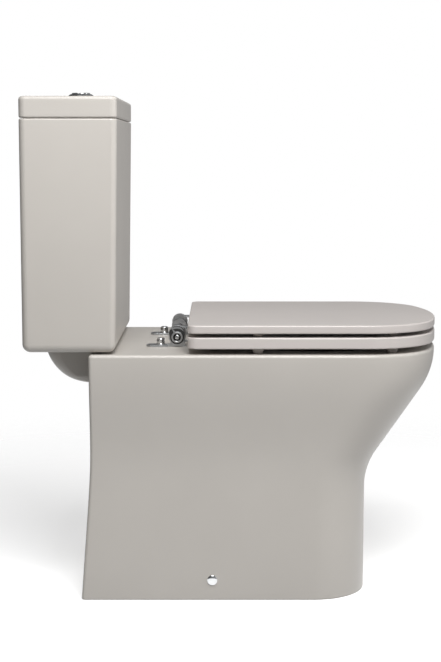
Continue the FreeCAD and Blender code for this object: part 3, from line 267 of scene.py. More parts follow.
def pipe(name, route, radius, steps=48):
    """A round bar along a route that stays in the plane X = 0 (the trap and other bends)."""
    rows = []
    for index, place in enumerate(route):
        ahead = route[min(index + 1, len(route) - 1)] - route[max(index - 1, 0)]
        ahead.normalize()
        side = Vector((1, 0, 0))
        up = ahead.cross(side).normalized()
        ring = []
        for angle in np.linspace(0, 2 * math.pi, steps, endpoint=False):
            ring.append(tuple(place + side * radius * math.cos(angle) + up * radius * math.sin(angle)))
        rows.append(ring)
    return loft(name, rows)


# ---------------------------------------------------------------------------------------- materials


def node_material(name, metallic=0.0, coat=0.0, coat_roughness=0.1, ior=1.5):
    """A principled material and its node tree, ready for colour, roughness and bump."""
    material = bpy.data.materials.new(name)
    material.use_nodes = True
    nodes = material.node_tree.nodes
    shader = nodes["Principled BSDF"]
    shader.inputs["Metallic"].default_value = metallic
    shader.inputs["Coat Weight"].default_value = coat
    shader.inputs["Coat Roughness"].default_value = coat_roughness
    shader.inputs["IOR"].default_value = ior
    return material, nodes, material.node_tree.links, shader


def noise(nodes, links, place, scale, detail=3.0, roughness=0.5):
    texture = nodes.new("ShaderNodeTexNoise")
    texture.inputs["Scale"].default_value = scale
    texture.inputs["Detail"].default_value = detail
    texture.inputs["Roughness"].default_value = roughness
    links.new(place.outputs["Object"], texture.inputs["Vector"])
    return texture


def varied_material(name, dark, light, rough, bump, scale, grain, **shader_settings):
    """Colour and roughness that wander gently over the surface, and a fine bump."""
    material, nodes, links, shader = node_material(name, **shader_settings)
    place = nodes.new("ShaderNodeTexCoord")
    broad = noise(nodes, links, place, scale)
    ramp = nodes.new("ShaderNodeValToRGB")
    ramp.color_ramp.elements[0].position = 0.3
    ramp.color_ramp.elements[0].color = (*dark, 1)
    ramp.color_ramp.elements[1].position = 0.7
    ramp.color_ramp.elements[1].color = (*light, 1)
    links.new(broad.outputs["Fac"], ramp.inputs["Fac"])
    links.new(ramp.outputs["Color"], shader.inputs["Base Color"])
    spread = nodes.new("ShaderNodeMapRange")
    spread.inputs["To Min"].default_value = rough[0]
    spread.inputs["To Max"].default_value = rough[1]
    streaks = noise(nodes, links, place, scale * 3.1, 4.0)
    links.new(streaks.outputs["Fac"], spread.inputs["Value"])
    links.new(spread.outputs["Result"], shader.inputs["Roughness"])
    fine = noise(nodes, links, place, grain, 2.0)
    relief = nodes.new("ShaderNodeBump")
    relief.inputs["Strength"].default_value = bump
    relief.inputs["Distance"].default_value = 0.0004
    links.new(fine.outputs["Fac"], relief.inputs["Height"])
    links.new(relief.outputs["Normal"], shader.inputs["Normal"])
    return material


GLAZE = varied_material(
    "satin_glaze",
    (0.556, 0.526, 0.487),
    (0.578, 0.547, 0.507),
    rough=(0.34, 0.42),
    bump=0.06,
    scale=7.0,
    grain=170.0,
    coat=0.25,
    coat_roughness=0.22,
)
SEAT = varied_material(
    "seat_thermoset",
    (0.606, 0.562, 0.536),
    (0.622, 0.578, 0.552),
    rough=(0.30, 0.36),
    bump=0.03,
    scale=9.0,
    grain=320.0,
    coat=0.15,
    coat_roughness=0.2,
)
BUFFER = varied_material(
    "buffer_plastic", (0.40, 0.37, 0.345), (0.44, 0.41, 0.385),
    rough=(0.5, 0.6), bump=0.1, scale=40.0, grain=900.0
)
CHROME = varied_material(
    "polished_chrome",
    (0.60, 0.61, 0.62),
    (0.68, 0.69, 0.70),
    rough=(0.06, 0.14),
    bump=0.02,
    scale=60.0,
    grain=700.0,
    metallic=1.0,
)
STEEL = varied_material(
    "zinc_plated_steel",
    (0.42, 0.42, 0.40),
    (0.55, 0.55, 0.52),
    rough=(0.25, 0.45),
    bump=0.12,
    scale=90.0,
    grain=1500.0,
    metallic=1.0,
)
SATIN_CHROME = varied_material(
    "satin_chrome",
    (0.44, 0.45, 0.46),
    (0.53, 0.54, 0.55),
    rough=(0.30, 0.42),
    bump=0.05,
    scale=70.0,
    grain=900.0,
    metallic=1.0,
)
RUBBER = varied_material(
    "black_rubber", (0.018, 0.018, 0.018), (0.032, 0.032, 0.031),
    rough=(0.6, 0.8), bump=0.25, scale=50.0, grain=1800.0
)
WHITE_PLASTIC = varied_material(
    "white_moulding", (0.70, 0.70, 0.67), (0.78, 0.78, 0.75),
    rough=(0.35, 0.5), bump=0.08, scale=25.0, grain=1200.0
)
GREY_PLASTIC = varied_material(
    "grey_moulding", (0.10, 0.105, 0.115), (0.14, 0.145, 0.155),
    rough=(0.4, 0.55), bump=0.1, scale=30.0, grain=1200.0
)
SLOT_MATERIALS = {
    "glaze": GLAZE,
    "seat_plastic": SEAT,
    "buffer_plastic": BUFFER,
    "chrome": CHROME,
    "steel": STEEL,
    "rubber": RUBBER,
    "white_plastic": WHITE_PLASTIC,
    "grey_plastic": GREY_PLASTIC,
}


def dress_cad_nodes():
    """Gives every CAD node the finish of its slot."""
    for entry in frame["record"]["subparts"]:
        node = frame["nodes"][entry["node"]]
        node.data.materials.clear()
        node.data.materials.append(SLOT_MATERIALS[entry["material_slot"]])


# --------------------------------------------------------------------------------------- pan shapes

RIM_HALF = PAN_HIGH.x
RIM_TIP = PAN_LOW.y
RIM_TOP = PAN_HIGH.z
RIM_CORNER, RIM_FRONT = 115.0, 360.0
FOOT_HALF, FOOT_TIP = 174.0, -218.0
FOOT_CORNER, FOOT_FRONT = 87.0, 834.0
WAIST_HALF, WAIST_HEIGHT = 163.0, 205.0
RIM_BAND = RIM_TOP - 6.0
FRONT_SLOPE = math.radians(36.4)
FRONT_UPPER, FRONT_LOWER, FRONT_UPRIGHT = 102.6, 103.7, 168.0
PANEL_BACK, PANEL_SLOPE, PANEL_TURN = 232.2, 0.075, 215.0
PAN_WALL = 12.0
DECK_UNDERSIDE = RIM_TOP - 26.0
RIM_EDGE, FOOT_EDGE, PANEL_EDGE = 5.0, 2.4, 5.5


def eased(share):
    share = min(1.0, max(0.0, share))
    return share * share * (3 - 2 * share)


def front_tip(height):
    """How far forward the pan reaches: an arc under the rim, a slope, and an arc down to the foot."""
    arc_bottom = RIM_BAND - FRONT_UPPER * math.sin(FRONT_SLOPE)
    arc_top = FRONT_UPRIGHT + FRONT_LOWER * math.sin(FRONT_SLOPE)
    if height >= RIM_BAND:
        return RIM_TIP
    if height >= arc_bottom:
        return RIM_TIP + FRONT_UPPER - math.sqrt(FRONT_UPPER**2 - (RIM_BAND - height) ** 2)
    if height <= FRONT_UPRIGHT:
        return FOOT_TIP
    if height <= arc_top:
        return FOOT_TIP - FRONT_LOWER + math.sqrt(FRONT_LOWER**2 - (height - FRONT_UPRIGHT) ** 2)
    high_end = RIM_TIP + FRONT_UPPER * (1 - math.cos(FRONT_SLOPE))
    low_end = FOOT_TIP - FRONT_LOWER * (1 - math.cos(FRONT_SLOPE))
    return low_end + (height - arc_top) / (arc_bottom - arc_top) * (high_end - low_end)


def half_width(height):
    if height >= WAIST_HEIGHT:
        share = eased((height - WAIST_HEIGHT) / (RIM_BAND - WAIST_HEIGHT))
        return WAIST_HALF + share * (RIM_HALF - WAIST_HALF)
    return WAIST_HALF + eased(1 - height / WAIST_HEIGHT) * (FOOT_HALF - WAIST_HALF)


def panel_end(height):
    drop = PANEL_TURN - height
    return PANEL_BACK + PANEL_SLOPE * (drop + math.hypot(drop, 40)) / 2


def front_curve(half, tip, corner, front, inset, steps=26):
    """Left to right round the front: a corner arc, the front arc and a corner arc, moved in by inset."""
    start = tip + front - math.sqrt((front - corner) ** 2 - (half - corner) ** 2)
    lean = math.degrees(math.atan2(start - tip - front, half - corner))
    right = arc_points(half - corner, start, corner - inset, lean, 0, steps)
    middle = arc_points(0, tip + front, front - inset, -180 - lean, lean, steps)
    left = arc_points(corner - half, start, corner - inset, -180, -180 - lean, steps)
    return left + middle[1:-1] + right, start


def pan_outline(height, inset=0.0, edge=0.0, beyond=0.0, flare=0.0):
    """The pan's level outline at a height.

    edge rounds the two back corners. beyond carries the sides on past the panels' ends, and flare opens them
    there, which leaves the ends of the panels rounded inside as well.
    """
    tip = front_tip(height)
    share = (tip - RIM_TIP) / (FOOT_TIP - RIM_TIP)
    corner = RIM_CORNER + share * (FOOT_CORNER - RIM_CORNER)
    front = 1 / ((1 - share) / RIM_FRONT + share / FOOT_FRONT)
    half = half_width(height)
    curve, start = front_curve(half, tip, corner, front, inset)
    end = panel_end(height)
    side = half - inset
    depths = list(np.linspace(start, end - 12, 22))[1:]
    if beyond:
        straight = [(side, depth) for depth in depths]
        for turn in np.linspace(0, 90, 7):
            reach = flare * math.sin(math.radians(turn))
            straight.append((side + flare - flare * math.cos(math.radians(turn)), end - flare + reach))
        straight.append((side + flare, end + beyond))
    else:
        back = end - inset
        straight = [(side, depth) for depth in depths]
        straight += arc_points(side - edge, back - edge, edge, 0, 90, 7)
    mirrored = [(-x, y) for x, y in straight[::-1]]
    rear_x = straight[-1][0]
    rear = [(x, straight[-1][1]) for x in np.linspace(rear_x, -rear_x, 16)[1:-1]]
    return curve + straight + rear + mirrored


def rows_up(outline, bottom, top, low_edge, high_edge, steps):
    """Level rings from the bottom to the top of a form, with its lower and upper edges rounded."""
    rows = []
    for rise, inset in edge_rounding(low_edge):
        rows.append(at_height(outline(bottom + rise, inset), bottom + rise))
    inner = np.linspace(bottom + low_edge, top - high_edge, steps)[1:-1]
    rows += [at_height(outline(level, 0.0), level) for level in inner]
    high = [at_height(outline(top - rise, inset), top - rise) for rise, inset in edge_rounding(high_edge)]
    return rows + high[::-1]


def skirt_form():
    """The pan's outside, all its edges soft."""
    return loft(
        "pan_ware",
        rows_up(
            lambda level, inset: pan_outline(level, inset, edge=PANEL_EDGE),
            0.0,
            RIM_TOP,
            FOOT_EDGE,
            RIM_EDGE,
            64,
        ),
    )


def skirt_hollow():
    """The space behind the front and between the side panels."""

    def outline(level, inset):
        return pan_outline(max(level, 0), PAN_WALL + inset, beyond=60.0, flare=5.0)

    high = []
    for rise, inset in edge_rounding(9):
        high.append(at_height(outline(DECK_UNDERSIDE - rise, inset), DECK_UNDERSIDE - rise))
    levels = np.linspace(-6, DECK_UNDERSIDE - 9, 44)[:-1]
    return loft("hollow", [at_height(outline(level, 0.0), level) for level in levels] + high[::-1])


BOWL_CENTRE, BOWL_LENGTH, BOWL_WIDTH = -128.0, 157.0, 134.0
SUMP_CENTRE, SUMP_LENGTH, SUMP_HEIGHT = 15.0, 46.0, 125.0
BOWL_WALL = 13.0
BOWL_LIP = 7.0


def oval(share, grown):
    """The bowl's level outline at a share of the way down, grown by a wall."""
    drawn_in = share**1.8
    centre = BOWL_CENTRE + drawn_in * (SUMP_CENTRE - BOWL_CENTRE)
    length = BOWL_LENGTH + drawn_in * (SUMP_LENGTH - BOWL_LENGTH) + grown
    width = BOWL_WIDTH + drawn_in * (SUMP_LENGTH - BOWL_WIDTH) + grown
    angles = np.linspace(0, 2 * math.pi, 96, endpoint=False)
    return [(width * math.cos(a), centre + length * math.sin(a)) for a in angles]


def bowl_form(name, grown):
    """The bowl from its mouth to its sump; the inside has a rolled lip, the outside stops under the deck."""
    drop = RIM_TOP - SUMP_HEIGHT
    rows = []
    if grown:
        shares = np.linspace(8 / drop, 1, 40)
    else:
        shares = np.linspace(BOWL_LIP / drop, 1, 40)[1:]
        rows.append(at_height(oval(0, BOWL_LIP), RIM_TOP + 4))
        for turn in np.radians(np.linspace(0, 90, 8)):
            height = RIM_TOP - BOWL_LIP * (1 - math.cos(turn))
            rows.append(at_height(oval(0, BOWL_LIP * (1 - math.sin(turn))), height))
    for share in shares:
        rows.append(at_height(oval(share, grown), RIM_TOP - share * drop))
    for turn in np.radians(np.linspace(20, 80, 4)):
        shrink = (SUMP_LENGTH + grown) * (math.cos(turn) - 1)
        drop = 26 * math.sin(turn) + grown * math.sin(turn)
        rows.append(at_height(oval(1, grown + shrink), SUMP_HEIGHT - drop))
    return loft(name, rows)


TRAP_ROUTE = [(0, 23, 140), (0, 105, 215), (0, 155, 180), (0, 228, 180)]
SPIGOT_RADIUS, SPIGOT_START = 51.0, 170.0
TRAP_RADIUS, TRAP_WALL = 42.0, 8.0


def trap_form(name, radius, past=0.0):
    """The trap from the sump over the weir to the level outlet."""
    ends = TRAP_ROUTE[:-1] + [(0, TRAP_ROUTE[-1][1] + past, TRAP_ROUTE[-1][2])]
    return pipe(name, smooth_path(ends, 90.0), radius)


SHELF_HALF, SHELF_FRONT, SHELF_BACK, SHELF_CORNER = 120.0, 200.0, PAN_HIGH.y, 24.0
SHELF_BOTTOM, SHELF_BACK_EDGE = 343.5, 394.0
SHELF_CURVE = (290.0, 367.0)


def circle_through(first, second, third):
    """Centre and radius of the circle through three points."""
    ax, ay = first
    bx, by = second
    cx, cy = third
    d = 2 * (ax * (by - cy) + bx * (cy - ay) + cx * (ay - by))
    ux = ((ax**2 + ay**2) * (by - cy) + (bx**2 + by**2) * (cy - ay) + (cx**2 + cy**2) * (ay - by)) / d
    uy = ((ax**2 + ay**2) * (cx - bx) + (bx**2 + by**2) * (ax - cx) + (cx**2 + cy**2) * (bx - ax)) / d
    return ux, uy, math.hypot(ax - ux, ay - uy)


def shelf_form():
    """The shelf under the cistern, with an underside that curves up to the back."""
    back = SHELF_BACK
    top = RIM_TOP
    turn_height = SHELF_BACK_EDGE
    middle, height, radius = circle_through((back, turn_height), SHELF_CURVE, (PANEL_BACK, SHELF_BOTTOM))
    rows = []
    low_edge = 14.0
    for level in np.linspace(SHELF_BOTTOM, turn_height, 26)[:-1]:
        reach = middle + math.sqrt(max(radius**2 - (level - height) ** 2, 0))
        tuck = max(0.0, low_edge - (level - SHELF_BOTTOM))
        side = SHELF_HALF - (low_edge - math.sqrt(low_edge**2 - tuck**2))
        outline = rounded_rectangle(side, SHELF_FRONT, reach, 4, rear_radius=SHELF_CORNER)
        rows.append(at_height(outline, level))
    rows.append(
        at_height(rounded_rectangle(SHELF_HALF, SHELF_FRONT, back, 4, rear_radius=SHELF_CORNER), turn_height)
    )
    for rise, inset in edge_rounding(4.0)[::-1]:
        corner = SHELF_CORNER - inset
        outline = rounded_rectangle(SHELF_HALF - inset, SHELF_FRONT, back - inset, 4, rear_radius=corner)
        rows.append(at_height(outline, top - rise))
    return loft("shelf", rows)


VALVE_DEPTH = 256.0
HINGE_ACROSS = 77.5
BOLT_DEPTH = 122.5
COUPLING_ACROSS = 80.0
SOCKET_RADIUS, SOCKET_FLOOR = 41.0, 382.0
HORN_RADIUS, HORN_FLOOR = 30.0, 370.0
DUCT_HALF, DUCT_BOTTOM, DUCT_HEIGHT, DUCT_RADIUS = 45.0, 334.0, 360.0, 20.0
DUCT_FRONT, DUCT_START, DUCT_END = -20.0, 5.0, 222.0
DUCT_FOOT_HALF, DUCT_FOOT_SPAN, DUCT_FOOT_BOTTOM = 26.0, (212.0, 270.0), 359.0
SIDE_FIXING_DEPTH, SIDE_FIXING_HEIGHT = 37.6, 33.0


def hole(across, depth, radius, bottom, top, chamfer=0.0):
    """A round upright hole, its mouth at the top eased."""
    profile = [(radius, bottom), (radius, top - chamfer)]
    if chamfer:
        profile += [(radius + chamfer, top), (radius + chamfer, top + 1)]
    else:
        profile[-1] = (radius, top + 1)
    return turned("hole", profile, across, depth, 40)


def lying(name, radius, low, high, depth, height, along):
    """A round bar along X or Y between two places."""
    ring = arc_points(0, 0, radius, 0, 360, 41)[:-1]
    if along == "X":
        rows = [[(end, depth + a, height + b) for a, b in ring] for end in (low, high)]
    else:
        rows = [[(depth + a, end, height + b) for a, b in ring] for end in (low, high)]
    return loft(name, rows)


def make_pan():
    """The pan in one piece of glazed ware."""
    ware = skirt_form()
    combine(ware, "DIFFERENCE", skirt_hollow())
    duct = box_form("duct", DUCT_HALF, DUCT_FRONT, PANEL_BACK, DUCT_BOTTOM, RIM_TOP - 6, 8)
    outside = bowl_form("bowl_outside", BOWL_WALL)
    spigot = lying("spigot", SPIGOT_RADIUS, SPIGOT_START, TRAP_ROUTE[-1][1], 0, TRAP_ROUTE[-1][2], "Y")
    trap_outside = trap_form("trap_outside", TRAP_RADIUS + TRAP_WALL)
    combine(ware, "UNION", shelf_form(), duct, outside, trap_outside, spigot)
    trap_inside = trap_form("trap_inside", TRAP_RADIUS, past=1.0)
    combine(ware, "DIFFERENCE", bowl_form("bowl_inside", 0.0), trap_inside)
    cuts = [
        hole(0, VALVE_DEPTH, SOCKET_RADIUS, SOCKET_FLOOR, RIM_TOP, 2.0),
        hole(0, VALVE_DEPTH, HORN_RADIUS, HORN_FLOOR, SOCKET_FLOOR),
        box_form("duct_foot", DUCT_FOOT_HALF, *DUCT_FOOT_SPAN, DUCT_FOOT_BOTTOM, HORN_FLOOR + 1, 3),
        lying("duct_bore", DUCT_RADIUS, DUCT_START, DUCT_END, 0, DUCT_HEIGHT, "Y"),
    ]
    for side in (-1, 1):
        cuts.append(hole(side * COUPLING_ACROSS, VALVE_DEPTH, 19.0, 300, 384))
        cuts.append(hole(side * COUPLING_ACROSS, VALVE_DEPTH, 5.0, 340, RIM_TOP, 1.0))
        cuts.append(hole(side * HINGE_ACROSS, BOLT_DEPTH, 7.0, 340, RIM_TOP, 1.0))
        ends = sorted((side * 150, side * 200))
        cuts.append(lying("side_hole", 6.0, *ends, SIDE_FIXING_DEPTH, SIDE_FIXING_HEIGHT, "X"))
    combine(ware, "DIFFERENCE", *cuts)
    shade(ware)
    dress(ware, GLAZE, "glaze", "toilet", "pan")


# ------------------------------------------------------------------------------------------ cistern


def cistern_front(level):
    """The cistern's front leans back as it goes up."""
    low = 189.6
    share = (level - CISTERN_LOW.z) / (CISTERN_HIGH.z - CISTERN_LOW.z)
    return low + share * (CISTERN_LOW.y - low)


def make_cistern():
    """The cistern's body: tapered, with rounded corners, a tank inside and a hollow foot."""
    half, back = CISTERN_HIGH.x, CISTERN_HIGH.y
    bottom, top = CISTERN_LOW.z, CISTERN_HIGH.z
    wall, floor = 11.0, 428.0

    def outline(level, inset):
        return rounded_rectangle(
            half - inset, cistern_front(level) + inset, back - inset, 10 - inset * 0.6, 12, 11 - inset * 0.7
        )

    ware = loft("cistern_ware", rows_up(outline, bottom, top, 13.0, 2.6, 30))

    def tank_outline(level, inset):
        return rounded_rectangle(
            half - wall - inset, cistern_front(level) + wall + inset, back - wall - inset, 9, 10
        )

    rows = [at_height(tank_outline(floor + rise, inset), floor + rise) for rise, inset in edge_rounding(8)]
    rows += [at_height(tank_outline(level, 0), level) for level in np.linspace(floor + 8, top - 3, 12)[1:]]
    rows += [at_height(tank_outline(top, -2.5), top), at_height(tank_outline(top, -2.5), top + 3)]
    tank = loft("tank", rows)
    recess = box_form("recess", 166, 203, 326, bottom - 5, 416, 12)
    combine(ware, "DIFFERENCE", tank, recess)
    holes = [hole(0, VALVE_DEPTH, 31.5, 410, floor), hole(146.0, 285.0, 11.5, 410, floor)]
    for side in (-1, 1):
        holes.append(lying("wall_hole", 4.0, back - wall - 3, back + 3, side * 100, 705, "Y"))
    combine(ware, "DIFFERENCE", *holes)
    shade(ware)
    dress(ware, GLAZE, "glaze", "toilet", "cistern")


def make_cistern_lid():
    """The cistern's lid: a soft-edged slab, hollow below, with a locating lip."""
    half, front, back = COVER_HIGH.x, COVER_LOW.y, COVER_HIGH.y
    bottom, top = CISTERN_HIGH.z + 1.0, COVER_HIGH.z
    ceiling, lip_bottom = 788.0, COVER_LOW.z

    def outline(level, inset):
        return rounded_rectangle(
            half - inset, front + inset, back - inset, 10 - inset * 0.6, 12, 11 - inset * 0.7
        )

    ware = loft("cistern_lid_ware", rows_up(outline, bottom, top, 3.0, 5.6, 8))
    lip = box_form("lip", half - 13.5, front + 13.5, back - 13.5, lip_bottom, bottom + 6, 8)
    combine(ware, "UNION", lip)
    tray = box_form("tray", half - 21.5, front + 21.5, back - 21.5, lip_bottom - 4, ceiling, 8)
    combine(ware, "DIFFERENCE", tray, hole(0, VALVE_DEPTH, 23.0, ceiling - 3, top, 1.0))
    shade(ware)
    dress(ware, GLAZE, "glaze", "cistern_cover", "cistern_lid")


# --------------------------------------------------------------------------------------------- seat

SEAT_CORNER, SEAT_FRONT, SEAT_REAR = 114.5, 360.0, 13.0
OPENING_HALF, OPENING_TIP, OPENING_BACK = 112.0, -262.0, 12.0
OPENING_CORNER, OPENING_FRONT, OPENING_REAR = 96.0, 135.0, 92.0


def seat_outline(half, tip, back, corner, front, rear, inset, steps=20):
    """A closed level outline with a curved front, straight sides and a rear edge with round corners."""
    curve, start = front_curve(half, tip, corner, front, inset, steps)
    side = half - inset
    rear_inset = rear - inset
    depths = np.linspace(start, back - rear, steps)[1:-1]
    right = [(side, depth) for depth in depths]
    corner_right = arc_points(half - rear, back - rear, rear_inset, 0, 90, 12)
    corner_left = arc_points(rear - half, back - rear, rear_inset, 90, 180, 12)
    width = half - rear
    rear_line = [(x, back - inset) for x in np.linspace(width, -width, steps)[1:-1]]
    left = [(-side, depth) for depth in depths[::-1]]
    return curve + right + corner_right + rear_line + corner_left + left


def lid_outline(inset):
    return seat_outline(LID_HIGH.x, LID_LOW.y, LID_HIGH.y, SEAT_CORNER, SEAT_FRONT, SEAT_REAR, inset)


def make_seat_lid():
    """The seat lid: a flat slab with soft edges and a shallow hollow underneath."""
    edge = 2.4
    rows = rows_up(lambda level, inset: lid_outline(inset), LID_LOW.z, LID_HIGH.z, edge, edge, 5)
    slab = loft("seat_lid_moulding", rows)

    def hollow_outline(inset):
        return seat_outline(156, -306, 4, 92, 330, 12, inset)

    inner, small = hollow_outline(0), hollow_outline(3)
    depth = 4.0
    floor = LID_LOW.z + depth
    hollow = loft(
        "hollow",
        [at_height(inner, LID_LOW.z - 2), at_height(inner, LID_LOW.z + 0.2)]
        + [
            at_height(hollow_outline(3 * t), LID_LOW.z + depth * math.sin(t * math.pi / 2))
            for t in (0.25, 0.5, 0.75)
        ]
        + [at_height(small, floor)],
    )
    combine(slab, "DIFFERENCE", hollow)
    shade(slab)
    dress(slab, SEAT, "seat_plastic", "lid", "seat_lid")


def make_seat_ring():
    """The seat ring: a band between two outlines whose top dips towards the opening."""
    outer_plan = seat_outline(RING_HIGH.x, RING_LOW.y, RING_HIGH.y, SEAT_CORNER, SEAT_FRONT, SEAT_REAR, 0)
    inner_plan = seat_outline(
        OPENING_HALF, OPENING_TIP, OPENING_BACK, OPENING_CORNER, OPENING_FRONT, OPENING_REAR, 0
    )
    low, high = RING_LOW.z, RING_HIGH.z
    rings = []
    for outer, inner in zip(outer_plan, inner_plan):
        a, b = Vector(outer), Vector(inner)
        width = (b - a).length
        inward = (b - a).normalized()
        section = []
        for rise, inset in edge_rounding(2.4, 6):
            section.append((inset, low + rise))
        for rise, inset in edge_rounding(2.8, 8)[::-1]:
            section.append((inset, high - rise))
        for share in (0.2, 0.4, 0.6, 0.8):
            dip = 4.5 * eased((share - 0.1) / 0.9)
            section.append((6 + share * (width - 16), high - dip))
        inner_top = high - 4.5
        for turn in np.linspace(90, 0, 8):
            angle = math.radians(turn)
            section.append((width - 8 + 8 * math.cos(angle), inner_top - 8 + 8 * math.sin(angle)))
        for turn in np.linspace(0, -90, 6):
            angle = math.radians(turn)
            section.append((width - 3.5 + 3.5 * math.cos(angle), low + 3.5 + 3.5 * math.sin(angle)))
        rings.append([(a.x + inward.x * s, a.y + inward.y * s, z) for s, z in section])
    band = torus_loft("seat_ring_moulding", rings)
    shade(band, 50)
    dress(band, SEAT, "seat_plastic", "ring", "seat_ring")


# ------------------------------------------------------------------------------------- small forms


def plate(name, outline, left, right, edge=0.5):
    """An upright plate between two X places from a (depth, height) outline, its edges eased."""
    form = loft(name, [[(across, y, z) for y, z in outline] for across in (left, right)])
    return soften(form, edge, 2, 40) if edge else form


def level_plate(name, outline, bottom, top, edge=0.5):
    """A level plate between two heights, its edges eased."""
    form = loft(name, [at_height(outline, bottom), at_height(outline, top)])
    return soften(form, edge, 2, 40) if edge else form


def turned_across(name, profile, depth, height, steps=48):
    """A closed form turned about a line along X, from (radius, across) points."""
    rows = []
    for radius, across in profile:
        rows.append([(across, y, z) for y, z in arc_points(depth, height, radius, 0, 360, steps + 1)[:-1]])
    return loft(name, rows)


def tongue(front, back, half, front_radius, back_radius, middle=0.0):
    """A level outline with its own corner radius at each end."""
    outline = rounded_rectangle(half, front, back, front_radius, 8, back_radius)
    return [(middle + x, y) for x, y in outline]


def threaded(name, radius, bottom, top, across, depth, pitch, groove, steps=28):
    """A rod with a screw thread."""
    rows = []
    for level in np.arange(bottom, top, pitch / 6):
        ring = []
        for angle in np.linspace(0, 2 * math.pi, steps, endpoint=False):
            phase = (level / pitch - angle / (2 * math.pi)) % 1
            reach = radius - groove * abs(2 * phase - 1)
            ring.append((across + reach * math.cos(angle), depth + reach * math.sin(angle), level))
        rows.append(ring)
    return loft(name, rows)


def dome(radius, bottom, top, edge, steps=7):
    """(radius, height) points up a cylinder with a rounded upper edge."""
    turn = np.radians(np.linspace(0, 90, steps))
    crown = [(radius - edge + edge * math.cos(t), top - edge + edge * math.sin(t)) for t in turn]
    return [(radius, bottom)] + crown


# ------------------------------------------------------------------------------------------- hinges

PIVOT_DEPTH, PIVOT_HEIGHT = 95.4, 416.0
EAR_RADIUS, CHEEK_RADIUS = 12.4, 13.9
ARCH_HEIGHT, ARCH_RADIUS, ARCH_INSIDE = 422.0, 13.6, 14.3
EAR_NEAR, EAR_FAR = 4.4, 10.4
WELL_RADIUS = 6.3
DECK = RIM_TOP
FOOT_THICKNESS = 3.0
STRAP_THICKNESS = 3.0


def outward(side, *distances):
    """X places at distances outward from the middle of a hinge, lowest first."""
    return sorted(side * (HINGE_ACROSS + distance) for distance in distances)


def make_hinge_base(side, name):
    """Bolted to the deck: a slotted foot, and a cheek that the pin goes through."""
    middle = side * HINGE_ACROSS
    foot = level_plate("foot", tongue(110, 146, 12, 3, 9, middle), DECK + 0.05, DECK + FOOT_THICKNESS, 0.6)
    slot_ends = arc_points(middle, 138.5, 3.5, 0, 180, 13) + arc_points(middle, 121.5, 3.5, 180, 360, 13)
    combine(foot, "DIFFERENCE", level_plate("slot", slot_ends, DECK - 1, DECK + 6, 0))
    outline = [(81.6, DECK + 0.05), (81.6, DECK + 1.6)]
    outline += arc_points(PIVOT_DEPTH, PIVOT_HEIGHT, CHEEK_RADIUS, 212, -43, 34)
    outline += [(107.4, 405.1), (109.8, 403.9), (113.0, 403.2), (116.0, 403.0), (116.0, DECK + 0.05)]
    cheek = plate("cheek", outline, *outward(side, -4.0, 4.0), 0.6)
    bore = turned_across("bore", [(3.0, end) for end in outward(side, -5, 5)], PIVOT_DEPTH, PIVOT_HEIGHT)
    combine(foot, "UNION", cheek)
    combine(foot, "DIFFERENCE", bore)
    foot.name = f"hinge_foot_{name}"
    shade(foot, 30)
    dress(foot, SATIN_CHROME, "chrome", "toilet", f"hinge_base_{name}")


def bell(inset):
    """Outline of the lid strap's outer ear, moved in by a distance."""
    top = arc_points(PIVOT_DEPTH, ARCH_HEIGHT, ARCH_RADIUS - inset, 0, 180, 26)
    low = arc_points(PIVOT_DEPTH, PIVOT_HEIGHT, EAR_RADIUS - inset, 186, 354, 26)
    return top + low


def paint_well_shade(ear):
    """Paints the faces deep in the well round the pin's head black with the rubber material: painted shade
    for the recess.
    """
    ear.data.materials.append(RUBBER)
    for face in ear.data.polygons:
        across, depth, height = face.center / MM
        deep = abs(across) > HINGE_ACROSS + EAR_NEAR + 1.9
        inside = math.hypot(depth - PIVOT_DEPTH, height - PIVOT_HEIGHT) < WELL_RADIUS + 0.05
        face.material_index = 1 if deep and inside else 0


